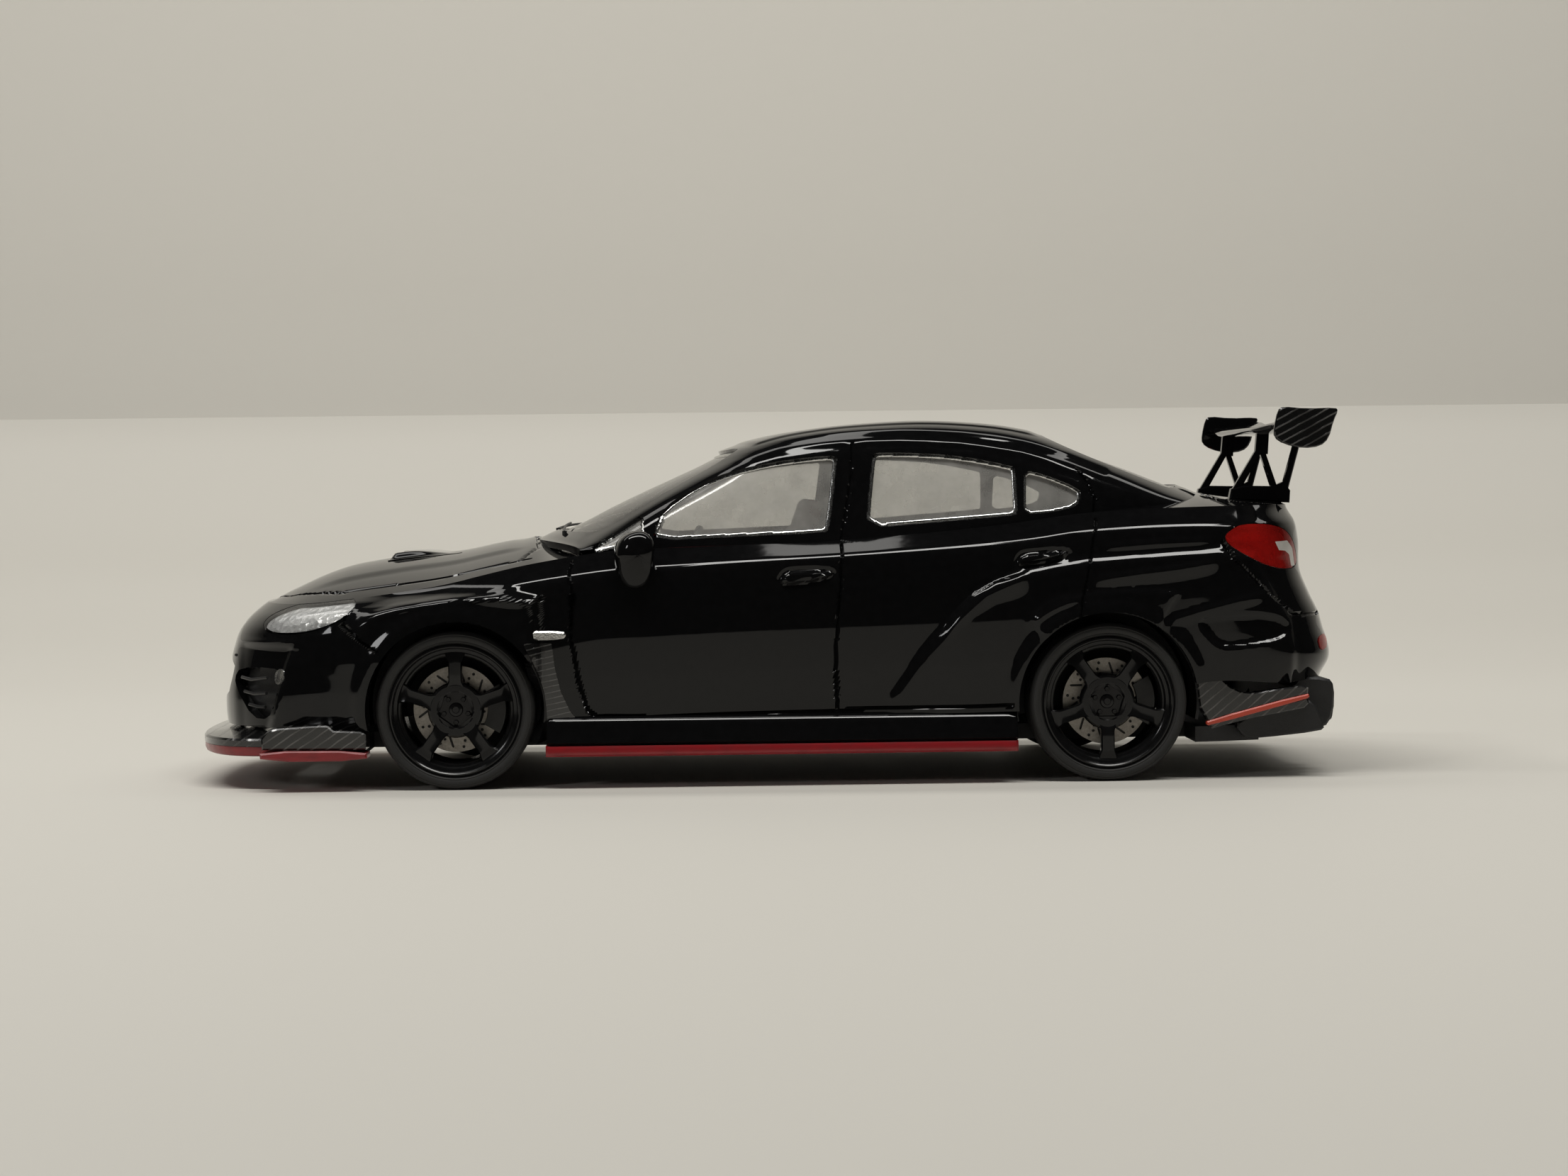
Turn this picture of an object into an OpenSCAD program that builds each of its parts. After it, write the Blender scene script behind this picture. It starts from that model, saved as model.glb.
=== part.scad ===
/* [Overall] */
// Distance between the axle centres
wheelbase = 41.4; // [36:0.1:50]
// Splitter tip to the front axle
front_overhang = 17.5; // [15:0.1:21]
// Rear axle to the end of the bumper
rear_overhang = 16.3; // [14.5:0.1:20]
// Width over the doors
body_w = 28.0; // [23:0.1:34]
// Extra width of each wheel flare
flare_out = 0.8; // [0.5:0.05:1.2]
// Ground to the top of the roof
roof_h = 23.1; // [21:0.1:27]
// Ground to the top of the rear wing
wing_h = 23.7; // [22:0.1:29]
// Width over the rear wing
wing_w = 28.6; // [24:0.1:34]

/* [Body casting] */
// Wall of the body casting
wall = 0.8; // [0.6:0.05:1.0]
// Ground to the underside of the chassis
ground_gap = 2.3; // [1.9:0.05:2.8]
// Top of the side skirts
skirt_top = 4.4; // [4:0.05:5]
// Gap between a trim piece and what it seats on
seat_gap = 0.05; // [0.02:0.01:0.1]

/* [Wheels] */
// Tyre outer radius
tyre_r = 5.02; // [4.2:0.01:5.3]
// Tyre width
tyre_w = 4.4; // [3.6:0.05:5]
// Height of the tyre's sidewall over the rim's outer lip
sidewall = 0.77; // [0.5:0.01:1.2]
// Body width minus track over the tyre faces, per side
tyre_inset = 0.5; // [0.3:0.05:1]
// Radial gap from tyre to wheel arch
arch_gap = 0.6; // [0.4:0.05:1.2]
// Number of spokes
spokes = 5; // [4:1:8]
// Brake disc radius
disc_r = 2.75; // [2.2:0.05:3]

/* [Axles and fasteners] */
// Axle diameter
axle_d = 1.2; // [0.9:0.05:1.6]
// Radial running clearance of an axle in its bearings
axle_play = 0.05; // [0.02:0.01:0.1]
// Core diameter of the chassis screws
screw_d = 1.3; // [1:0.05:1.6]
// Diameter of the chassis screw heads
screw_head_d = 2.5; // [2:0.05:3]
// Diameter of the tapped holes for a display stand
stand_hole_d = 1.6; // [1.2:0.05:2]
// Depth of the tapped holes for a display stand
stand_hole_l = 2.6; // [2:0.1:3.5]

/* [Hidden] */

// Stations along the car. X points to the tail, the car's left side is -Y.
overall_l = front_overhang + wheelbase + rear_overhang;
x_tip = -overall_l / 2;
x_end = overall_l / 2;
x_fa = x_tip + front_overhang;
x_ra = x_fa + wheelbase;
x_nose = x_tip + 1.4;
x_tail = x_end - 0.3;
x_cowl = x_fa + 5.6;
x_header = x_fa + 17.6;
x_roof_end = x_ra - 3.0;
x_back = x_ra + 7.2;
x_mid = (x_fa + x_ra) / 2;
half_w = body_w / 2;
flare_y = half_w + flare_out;
arch_r = tyre_r + arch_gap;
axle_z = tyre_r;
rim_r = tyre_r - sidewall;
tyre_y = flare_y - tyre_inset;
axle_r = axle_d / 2;
LEFT = -1;
RIGHT = 1;

// Smooth curve through a few points [x, value], flat beyond its ends.
function piece_of(p, x, i = 0) = i >= len(p) - 2 || x < p[i + 1][0] ? i : piece_of(p, x, i + 1);
function slope_at(p, i) =
    i == 0 || i == len(p) - 1 ? 0 : (p[i + 1][1] - p[i - 1][1]) / (p[i + 1][0] - p[i - 1][0]);
function smooth(p, x) =
    x <= p[0][0] ? p[0][1] :
    x >= p[len(p) - 1][0] ? p[len(p) - 1][1] :
    let(
        i = piece_of(p, x),
        h = p[i + 1][0] - p[i][0],
        u = (x - p[i][0]) / h,
        a = slope_at(p, i) * h,
        b = slope_at(p, i + 1) * h
    )
    (2 * u ^ 3 - 3 * u ^ 2 + 1) * p[i][1] + (u ^ 3 - 2 * u ^ 2 + u) * a
    + (3 * u ^ 2 - 2 * u ^ 3) * p[i + 1][1] + (u ^ 3 - u ^ 2) * b;

// Lower body. Six levels from the sill up to the window sill or deck edge.
// Each level has its own nose and tail, its own height line and its own inset.
level_nose = [0.7, 0.3, 0, 0.8, 2.5, 4.0];
level_tail = [1.3, 0.8, 0.3, 0.1, 1.9, 3.0];
level_in = [0.75, 0.25, 0.05, 0, 0.3, 1.6];
level_flare = [1, 1, 1, 1, 0.35, 0];
shoulder = [
    [x_nose, 11.2], [x_fa - 7, 12.1], [x_fa, 12.9], [x_fa + 10, 13.75],
    [x_mid, 14.3], [x_ra - 11, 14.75], [x_ra, 15.2], [x_tail, 15.2]
];
deck_edge = [
    [x_nose, 11.9], [x_fa - 11, 12.5], [x_fa - 7, 13.1], [x_fa, 14.2], [x_cowl + 2, 14.9],
    [x_mid, 15.7], [x_ra - 5, 16.7], [x_ra + 7, 17.5], [x_tail, 17.2]
];
deck_mid = [
    [x_nose + 3, 12.0], [x_fa - 11, 12.7], [x_fa - 8, 13.8], [x_fa - 4, 14.6],
    [x_fa, 14.9], [x_cowl, 15.9], [x_mid, 16.4], [x_ra, 17.8], [x_back, 18.3], [x_tail - 3, 17.6]
];
function level_z(k, x) =
    k == 0 ? ground_gap :
    k == 1 ? skirt_top - 0.1 :
    k == 2 ? 6.8 :
    k == 3 ? 9.4 :
    k == 4 ? smooth(shoulder, x) : smooth(deck_edge, x);
function bulge(x) =
    let(a = abs(x - x_fa) / (arch_r + 1.4), b = abs(x - x_ra) / (arch_r + 1.9))
    max(1 - a ^ 4, 0) ^ 0.7 + max(1 - b ^ 4, 0) ^ 0.7;
nose_l = 12.5;
tail_l = 9.4;
nose_power = 2.6;
tail_power = 3.2;
corner_steps = 9;
side_steps = 30;
first_angle = 12;
crown_least = 0.1;

// Point i of the plan outline of a level, t inside the outer surface.
function ring_point(k, i, t) =
    let(
        xa = x_nose + level_nose[k] + t,
        xb = x_tail - level_tail[k] - t,
        n = 2 * corner_steps + side_steps,
        front = i <= corner_steps,
        back = i >= n - corner_steps,
        j = front ? i : back ? n - i : 0,
        ang = first_angle + (90 - first_angle) * j / corner_steps,
        p = front ? 2 / nose_power : 2 / tail_power,
        x = front ? xa + nose_l * (1 - cos(ang) ^ p) :
            back ? xb - tail_l * (1 - cos(ang) ^ p) :
            xa + nose_l + (xb - tail_l - xa - nose_l) * (i - corner_steps) / side_steps,
        shape = front || back ? sin(ang) ^ p : 1,
        w = half_w - level_in[k] - t + flare_out * level_flare[k] * bulge(x)
    )
    [x, w * shape];
function half_section(i, t, floor_z) = concat(
    [for (k = [0:5]) let(q = ring_point(k, i, t))
        [q[0], q[1], k == 0 ? floor_z : level_z(k, q[0]) - (k == 5 ? t : 0)]],
    [for (u = [0.85, 0.6, 0.3, 0]) let(q = ring_point(5, i, t), edge = smooth(deck_edge, q[0]))
        [q[0], q[1] * u,
            edge + (max(smooth(deck_mid, q[0]), edge + crown_least) - edge) * (1 - u ^ 2) - t]]
);
function mirrored(h) = concat(h, [for (j = [len(h) - 2:-1:0]) [h[j][0], -h[j][1], h[j][2]]]);

function deck_at(x, y) =
    let(edge = smooth(deck_edge, x), top = max(smooth(deck_mid, x), edge + crown_least), u = y / (half_w - level_in[5]))
    edge + (top - edge) * (1 - u ^ 2);

// Closed skin over a list of mirrored sections, each capped by strips from side to side.
module skin(sections) {
    m = len(sections[0]);
    n = len(sections);
    function id(i, j) = i * m + j % m;
    polyhedron(
        points = [for (s = sections) for (p = s) p],
        faces = concat(
            [for (i = [0:n - 2]) for (j = [0:m - 1])
                [id(i, j), id(i + 1, j), id(i + 1, j + 1), id(i, j + 1)]],
            [for (j = [0:(m - 3) / 2]) [j, j + 1, m - 2 - j, m - 1 - j]],
            [for (j = [0:(m - 3) / 2])
                let(b = (n - 1) * m) [b + m - 1 - j, b + m - 2 - j, b + j + 1, b + j]]
        ),
        convexity = 6
    );
}
module lower_form(t = 0, floor_z = ground_gap) {
    n = 2 * corner_steps + side_steps;
    skin([for (i = [0:n]) mirrored(half_section(i, t, floor_z))]);
}

// Cabin. Cross-sections are superellipses between the sill and the roof line.
roof_line = [
    [x_cowl - 0.8, 15.4], [x_cowl, 16.05], [x_cowl + 5.8, 18.8], [x_header - 2.2, 20.55],
    [x_header, 21.65], [x_header + 2, roof_h - 0.95], [x_header + 6, roof_h - 0.35],
    [x_mid + 9, roof_h], [x_roof_end - 2, roof_h - 0.5], [x_roof_end, roof_h - 0.9],
    [x_roof_end + 2, roof_h - 1.65], [x_ra + 3, 20.1], [x_back, 18.2], [x_back + 0.8, 17.7]
];
cabin_half = [
    [x_cowl - 0.8, half_w - 3.2], [x_cowl + 3, half_w - 2.3], [x_cowl + 8, half_w - 1.75],
    [x_mid, half_w - 1.6], [x_ra - 5, half_w - 1.9], [x_ra, half_w - 2.4], [x_back + 0.8, half_w - 4.2]
];
cabin_power = 2.7;
cabin_steps = 34;
side_points = 9;
function cabin_section(i, t, drop) =
    let(
        x0 = x_cowl - 0.8 + 1.6 * t,
        x1 = x_back + 0.8 - 1.6 * t,
        x = x0 + (x1 - x0) * i / cabin_steps,
        lift = 1 + 0.45 * (x > x_header && x < x_roof_end ? 0 : 1),
        top = smooth(roof_line, x) - t * lift,
        foot = smooth(deck_edge, x) - 0.8,
        w = smooth(cabin_half, x) - t
    )
    concat(
        [[x, w, min(foot - drop, top - 0.5)]],
        [for (j = [0:side_points]) let(a = 90 * j / side_points, p = 2 / cabin_power)
            [x, w * cos(a) ^ p, min(foot, top - 0.4) + (top - min(foot, top - 0.4)) * sin(a) ^ p]]
    );
module cabin_form(t = 0, drop = 0.6) {
    skin([for (i = [0:cabin_steps]) mirrored(cabin_section(i, t, drop))]);
}

// Rounded corner prism across the car, from corner points [x, z].
module across(corners, r, width = 40, y = 0) {
    hull() for (c = corners) translate([c[0], y, c[1]]) rotate([90, 0, 0])
        cylinder(r = r, h = width, center = true, $fn = 16);
}
// Rounded corner prism up the car, from corner points [x, y].
module upright(corners, r, z, h) {
    hull() for (c = corners) translate([c[0], c[1], z]) cylinder(r = r, h = h, $fn = 16);
}

// Window openings, shared by the body and its glazing.
module side_windows(grow = 0) {
    r = 0.35 + grow;
    across([[x_mid - 8.0, 15.85], [x_mid + 2.7, 16.4], [x_mid + 3.1, 20.6], [x_mid - 0.3, 20.35],
        [x_mid - 3.6, 19.3], [x_mid - 7.8, 17.2]], r);
    across([[x_mid - 11.4, 15.75], [x_mid - 8.9, 15.85], [x_mid - 8.9, 16.8]], 0.2 + grow);
    across([[x_mid + 5.9, 16.55], [x_ra - 6.0, 17.1], [x_ra - 5.9, 19.8], [x_ra - 11, 20.6],
        [x_mid + 6.3, 20.8]], r);
    across([[x_ra - 5.1, 17.15], [x_ra - 1.9, 17.45], [x_ra - 1.7, 18.5], [x_ra - 5.1, 19.6]],
        0.25 + grow);
}
screen_y = [half_w - 4.0, half_w - 5.3];
module end_windows(grow = 0) {
    r = 0.6 + grow;
    upright([for (s = [-1, 1]) each [[x_cowl + 1.6, s * screen_y[0]], [x_header - 0.9, s * screen_y[1]]]],
        r, 15, 12);
    upright([for (s = [-1, 1]) each [[x_roof_end + 1.9, s * screen_y[1]], [x_back - 1.0, s * screen_y[1]]]],
        r, 17, 10);
}

// Lamp and bumper apertures, as hulls that follow the corners of the body.
module grown_box(corner, size, grow) {
    translate([for (c = corner) c - grow]) cube([for (d = size) d + 2 * grow]);
}
module headlight_slot(side, grow) {
    hull() {
        grown_box([x_nose + 2.6, side * (half_w - 5.05) - 0.25, 9.9], [1, 0.5, 1.5], grow);
        grown_box([x_nose + 5.4, side * (half_w - 1.2) - 0.8, 9.8], [1, 1.6, 2.1], grow);
        grown_box([x_nose + 9.2, side * (half_w - 0.5) - 0.7, 11.1], [0.4, 1.4, 0.8], grow);
    }
}
module tail_slot(side, grow) {
    hull() {
        grown_box([x_tail - 2.4, side * (half_w - 5.5) - 0.3, 13.2], [1, 0.6, 2.2], grow);
        grown_box([x_tail - 4.6, side * (half_w - 1.2) - 0.9, 13.2], [1.6, 1.8, 2.5], grow);
        grown_box([x_tail - 8.2, side * (half_w - 0.7) - 0.7, 14.9], [0.5, 1.4, 0.5], grow);
    }
}
module grille_slot(grow) {
    hull() {
        grown_box([x_nose - 1, -(half_w - 7.6), 5.1], [3.6, 2 * (half_w - 7.6), 0.4], grow);
        grown_box([x_nose - 1, -(half_w - 6.4), 8.2], [3.6, 2 * (half_w - 6.4), 0.4], grow);
    }
}
module fog_slot(side, grow) {
    hull() {
        grown_box([x_nose + 0.2, side * (half_w - 5.6) - 0.5, 4.6], [1.4, 1.0, 3.0], grow);
        grown_box([x_nose + 3.2, side * (half_w - 2.2) - 0.8, 4.6], [1.2, 1.6, 3.2], grow);
    }
}

// Screw posts and stand bosses lie on the centre line, clear of the axles.
post_x = [x_fa - arch_r - 2.68, x_ra + 8.3];
stand_x = [x_mid - 9.5, x_mid + 9.5];
post_r = screw_d / 2 + 0.9;
chassis_top = ground_gap + 1.0;
post_foot = chassis_top + seat_gap;
screw_l = 4.6;
screw_head_h = 0.75;
glass_t = 0.6;
chassis_front = x_fa - arch_r - 4.78;
chassis_back = x_ra + 10.0;
bearing_w = 3.2;
bearing_l = 2.8;
bearing_y = 6.6;

// Trim around the foot of the body.
splitter_base = ground_gap - 0.1;
splitter_top = 3.45;
skirt_base = ground_gap - 0.3;
bumper_cut = 6.2;

module body_shell() {
    color([0.03, 0.03, 0.035]) union() {
        difference() {
            union() {
                lower_form();
                cabin_form();
            }
            lower_form(wall, ground_gap - 2);
            cabin_form(wall, 4);
            side_windows();
            end_windows();
            for (x = [x_fa, x_ra]) for (s = [LEFT, RIGHT]) {
                translate([x, s * (flare_y + 2), axle_z]) rotate([90 * s, 0, 0])
                    cylinder(r = arch_r, h = tyre_w + 3.6, $fn = 48);
                translate([x - arch_r, s * (flare_y + 2 - tyre_w / 2 - 1.8) - tyre_w / 2 - 1.8, -1])
                    cube([2 * arch_r, tyre_w + 3.6, axle_z + 1]);
            }
            for (s = [LEFT, RIGHT]) {
                headlight_slot(s, seat_gap);
                tail_slot(s, seat_gap);
                fog_slot(s, seat_gap);
                fender_slot(s, seat_gap);
                skirt_rebate(s);
            }
            grille_slot(seat_gap);
            translate([x_tip - 1, -flare_y - 1, 0])
                cube([front_overhang - arch_r + 1.5, 2 * flare_y + 2, splitter_top + seat_gap]);
            translate([x_ra + arch_r - 0.5, -flare_y - 1, 0])
                cube([rear_overhang, 2 * flare_y + 2, bumper_cut + seat_gap]);
        }
        for (x = post_x) difference() {
            translate([x, 0, post_foot])
                cylinder(r = post_r, h = smooth(deck_mid, x) - wall / 2 - post_foot, $fn = 24);
            translate([x, 0, ground_gap]) cylinder(d = screw_d + 0.04, h = screw_l + 2, $fn = 24);
        }
    }
}

// Pocket behind the front wheel for the vent panel, as corner points [x, z].
panel_top = 8.95;
panel_points = [
    [x_fa + arch_r - 1.1, panel_top - 0.2], [x_fa + arch_r + 0.6, panel_top],
    [x_fa + arch_r + 1.4, 6.6], [x_fa + arch_r + 2.4, skirt_top + 0.2],
    [x_fa + arch_r + 0.3, skirt_top + 0.2], [x_fa + arch_r + 0.1, 6.4], [x_fa + arch_r - 0.6, 7.9]
];
module fender_slot(side, grow) {
    translate([0, side * (half_w + 2) + 2.1, 0]) rotate([90, 0, 0])
        linear_extrude(4.2) offset(delta = grow) polygon(panel_points);
}
module skirt_rebate(side) {
    translate([x_fa + arch_r - 0.6, side * (half_w + 1) - 1.5 - seat_gap, ground_gap - 1])
        cube([wheelbase - 2 * arch_r + 1.2, 3 + 2 * seat_gap, skirt_top - ground_gap + 1 + seat_gap]);
}

module window_glazing() {
    outer = wall + 2 * seat_gap;
    color([0.75, 0.78, 0.8, 0.4]) difference() {
        cabin_form(outer, 0.2);
        cabin_form(outer + glass_t, 6);
    }
}

module chassis_plate() {
    n = 2 * corner_steps + side_steps;
    inner = wall + seat_gap;
    right = [for (i = [0:n]) ring_point(0, i, inner)];
    left = [for (i = [n:-1:0]) let(q = ring_point(0, i, inner)) [q[0], -q[1]]];
    well_y = flare_y - tyre_w - 2.0;
    color([0.09, 0.09, 0.095]) difference() {
        union() {
            translate([0, 0, ground_gap]) linear_extrude(chassis_top - ground_gap) intersection() {
                polygon(concat(right, left));
                translate([chassis_front, -flare_y]) square([chassis_back - chassis_front, 2 * flare_y]);
            }
            for (x = [x_fa, x_ra]) for (s = [LEFT, RIGHT])
                translate([x - bearing_w / 2, s * bearing_y - bearing_l / 2, chassis_top - 0.2])
                    cube([bearing_w, bearing_l, axle_z + axle_r + 1.0 - chassis_top + 0.2]);
            for (x = stand_x) translate([x, 0, chassis_top - 0.2])
                cylinder(d = stand_hole_d + 2, h = stand_hole_l, $fn = 32);
        }
        for (x = [x_fa, x_ra]) for (s = [LEFT, RIGHT])
            translate([x - arch_r - 0.1, s * (well_y + 5) - 5, ground_gap - 1])
                cube([2 * arch_r + 0.2, 10, 3]);
        for (x = [x_fa, x_ra]) translate([x, 0, axle_z]) rotate([90, 0, 0])
            cylinder(r = axle_r + axle_play, h = 30, center = true, $fn = 48);
        for (x = stand_x) translate([x, 0, ground_gap - 0.5])
            cylinder(d = stand_hole_d, h = stand_hole_l + 0.5, $fn = 48);
        for (x = post_x) translate([x, 0, ground_gap]) {
            translate([0, 0, -1]) cylinder(d = screw_d + 0.2, h = 4, $fn = 48);
            translate([0, 0, -1]) cylinder(d = screw_head_d + 0.1, h = 1 + screw_head_h, $fn = 48);
        }
        translate([x_mid - 4.5, -9, ground_gap - 0.01]) cube([9, 3.2, 0.25]);
        translate([x_mid - 4.5, 5.8, ground_gap - 0.01]) cube([9, 3.2, 0.25]);
    }
}

module chassis_screws() {
    color("silver") for (x = post_x) translate([x, 0, ground_gap + 0.05]) difference() {
        union() {
            cylinder(d = screw_head_d, h = screw_head_h - 0.1, $fn = 32);
            cylinder(d = screw_d, h = screw_l, $fn = 32);
        }
        for (a = [0, 90]) rotate(a) translate([-0.8, -0.15, -0.01]) cube([1.6, 0.3, 0.3]);
    }
}

// Interior, kept inside the body's cavity and above the bearings.
tub_floor = max(7.0, axle_z + axle_r + 1.2);
tub_top = 13.6;
tub_y = half_w - 2.6;
tub_rear_y = flare_y - tyre_w - 2.1;
tub_wall = 0.6;
function tub_outline(t) = [
    [x_cowl + 1.6 + t, tub_y - 1 - t], [x_cowl + 4 + t, tub_y - t], [x_ra - arch_r - 0.5 - t, tub_y - t],
    [x_ra - arch_r - 0.5 - t, tub_rear_y - t], [x_back - 4 - t, tub_rear_y - t],
    [x_back - 4 - t, -tub_rear_y + t], [x_ra - arch_r - 0.5 - t, -tub_rear_y + t],
    [x_ra - arch_r - 0.5 - t, -tub_y + t], [x_cowl + 4 + t, -tub_y + t], [x_cowl + 1.6 + t, -tub_y + 1 + t]
];
module interior_tub() {
    color([0.05, 0.05, 0.05]) union() {
        difference() {
            translate([0, 0, tub_floor]) linear_extrude(tub_top - tub_floor) polygon(tub_outline(0));
            translate([0, 0, tub_floor + tub_wall]) linear_extrude(20) polygon(tub_outline(tub_wall));
        }
        translate([x_cowl + 3, -1.4, tub_floor + tub_wall - 0.1]) cube([x_ra - 11 - x_cowl - 3, 2.8, 2.2]);
        translate([x_ra + 0.8, -tub_rear_y + 0.1, tub_top - 0.6])
            cube([x_back - 4.1 - x_ra - 0.8, 2 * tub_rear_y - 0.2, 0.6]);
    }
}

seat_y = 5.6;
seat_x = x_mid - 3.0;
seat_base = tub_floor + tub_wall + seat_gap;
module front_seat(side) {
    color([0.45, 0.03, 0.04]) translate([seat_x, side * seat_y, 0]) union() {
        across([[-4.6, seat_base + 1.3], [1.6, seat_base + 1.1]], 0.9, 6.4);
        translate([-4, -2.4, seat_base]) cube([6.5, 4.8, 1]);
        across([[2.0, seat_base + 1.4], [4.7, seat_base + 7.6]], 0.85, 6.2);
        across([[4.8, seat_base + 8.3], [5.3, seat_base + 9.8]], 0.6, 3.4);
    }
}
module seat_front_left() { front_seat(LEFT); }
module seat_front_right() { front_seat(RIGHT); }

module rear_bench() {
    bench_y = tub_rear_y - 1.0;
    color([0.45, 0.03, 0.04]) union() {
        across([[x_ra - 9.4, seat_base + 1.2], [x_ra - 3.6, seat_base + 1.1]], 1.0, 2 * bench_y);
        across([[x_ra - 3.4, seat_base + 1.4], [x_ra - 0.6, seat_base + 6.3]], 0.85, 2 * bench_y);
        for (s = [-1, 0, 1])
            across([[x_ra - 0.4, seat_base + 7.3], [x_ra - 0.1, seat_base + 8.4]], 0.5, 2.8, s * 4.9);
    }
}

module dashboard() {
    color([0.06, 0.06, 0.06]) union() {
        across([[x_cowl + 3.6, 13.4], [x_cowl + 6.6, 13.1], [x_cowl + 6.3, 14.6], [x_cowl + 4.5, 14.5]],
            0.5, 2 * tub_y - 4.4);
        across([[x_cowl + 4.4, 10.2], [x_cowl + 6.0, 10.2], [x_cowl + 5.6, 13.4]], 0.5, 4.4);
    }
}

module steering_wheel() {
    color([0.05, 0.05, 0.05]) translate([x_cowl + 9.0, seat_y, 13.6]) rotate([0, -68, 0]) union() {
        rotate_extrude($fn = 48) translate([2.6, 0]) circle(r = 0.28, $fn = 20);
        for (a = [0, 120, 240]) rotate(a + 90) translate([0, -0.3, -0.2]) cube([2.6, 0.6, 0.4]);
        cylinder(r = 0.85, h = 0.5, center = true, $fn = 32);
        translate([0, 0, 0.1]) cylinder(r = 0.3, h = 1.5, $fn = 24);
    }
}

// Each lamp is its slot's shape, trimmed flush with the skin of the body.
module headlight(side) {
    color([0.85, 0.87, 0.9, 0.6]) intersection() {
        lower_form();
        headlight_slot(side, 0);
    }
}
module tail_light(side) {
    color([0.6, 0.02, 0.02, 0.8]) intersection() {
        lower_form();
        tail_slot(side, 0);
    }
}
module headlight_left() { headlight(LEFT); }
module headlight_right() { headlight(RIGHT); }
module tail_light_left() { tail_light(LEFT); }
module tail_light_right() { tail_light(RIGHT); }

// Grille insert: a plate with rows of slots, behind the bumper opening.
grille_rows = 6;
module front_grille() {
    w0 = half_w - 7.6;
    w1 = half_w - 6.4;
    color([0.04, 0.04, 0.04]) translate([x_nose + 1.9, 0, 0]) rotate([90, 0, 90]) linear_extrude(0.6)
        difference() {
            polygon([[-w0, 5.1], [w0, 5.1], [w1, 8.55], [-w1, 8.55]]);
            for (r = [0:grille_rows - 1]) for (c = [-6:6])
                translate([c * 0.95 + (r % 2) * 0.47 - 0.33, 5.4 + r * 0.5])
                    square([0.66, 0.3]);
        }
}
module fog_vent(side) {
    color([0.05, 0.05, 0.05]) difference() {
        intersection() {
            lower_form();
            fog_slot(side, 0);
        }
        for (z = [5.2, 6.0, 6.8])
            translate([x_nose - 2, side * (half_w - 4.2) - 6, z]) cube([3.4, 12, 0.45]);
    }
}
module fog_vent_left() { fog_vent(LEFT); }
module fog_vent_right() { fog_vent(RIGHT); }

// Splitter outline: a superellipse nose that runs back along the sides.
function splitter_outline(t) =
    let(
        xr = x_fa - arch_r - 5.6,
        a = xr - x_tip - t,
        b = half_w - 1.6 - t,
        half = [for (q = [0:12]) let(g = 90 * q / 12) [xr - a * cos(g) ^ 0.72, b * sin(g) ^ 0.72]]
    )
    concat(half, [for (q = [12:-1:0]) [half[q][0], -half[q][1]]]);
module front_splitter() {
    color([0.12, 0.12, 0.12]) translate([0, 0, splitter_base])
        linear_extrude(splitter_top - splitter_base) difference() {
            polygon(splitter_outline(0));
            translate([chassis_front - 3.4, -8]) square([4, 16]);
        }
}
module splitter_block(side) {
    color([0.12, 0.12, 0.12])
        across([[x_fa - arch_r - 6.2, splitter_base + 0.3], [x_fa - arch_r - 0.3, splitter_base + 0.1],
            [x_fa - arch_r - 0.4, splitter_top - 0.2], [x_fa - arch_r - 5.8, splitter_top - 0.2]],
            0.18, 1.8, side * (flare_y - 0.9));
}
module splitter_block_left() { splitter_block(LEFT); }
module splitter_block_right() { splitter_block(RIGHT); }

module bonnet_scoop() {
    color([0.1, 0.1, 0.1]) hull() {
        translate([x_fa - 5.3, -3.6, 14.0]) cube([0.4, 7.2, 0.9]);
        translate([x_fa - 3.2, -3.9, 14.3]) cube([0.4, 7.8, 0.8]);
        translate([x_fa - 0.9, -3.2, 14.7]) cube([0.4, 6.4, 0.15]);
    }
}

module wipers() {
    color([0.06, 0.06, 0.06]) for (y = [-6.5, 0.8])
        hull() {
            translate([x_cowl + 0.2, y, smooth(roof_line, x_cowl + 0.2) + 0.05]) sphere(r = 0.16, $fn = 10);
            translate([x_cowl + 1.5, y + 6.4, smooth(roof_line, x_cowl + 1.5) + 0.05])
                sphere(r = 0.12, $fn = 10);
        }
}

mirror_out = 1.9;
module mirror(side) {
    y = side * (half_w + mirror_out - 1.2);
    color([0.03, 0.03, 0.035]) union() {
        hull() {
            translate([x_mid - 10.1, y, 15.8]) sphere(r = 0.9, $fn = 16);
            translate([x_mid - 10.1, y - side * 1.3, 15.7]) sphere(r = 0.8, $fn = 16);
            translate([x_mid - 9.0, y + side * 0.1, 15.9]) sphere(r = 0.95, $fn = 16);
            translate([x_mid - 9.0, y - side * 1.4, 15.8]) sphere(r = 0.8, $fn = 16);
        }
        hull() {
            translate([x_mid - 9.7, y - side * 1.2, 15.2]) sphere(r = 0.35, $fn = 12);
            translate([x_mid - 9.9, side * (half_w - 1.4), 14.9]) sphere(r = 0.35, $fn = 12);
        }
    }
}
module mirror_left() { mirror(LEFT); }
module mirror_right() { mirror(RIGHT); }

module fender_panel(side) {
    color([0.1, 0.1, 0.1]) union() {
        translate([0, side * (half_w + 0.35) + 0.4, 0]) rotate([90, 0, 0])
            linear_extrude(0.8) polygon(panel_points);
        translate([x_fa + arch_r - 0.8, side * (half_w + 0.45) - 0.4, panel_top - 0.6])
            cube([1.2, 0.8, 0.35]);
    }
}
module fender_panel_left() { fender_panel(LEFT); }
module fender_panel_right() { fender_panel(RIGHT); }

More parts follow.
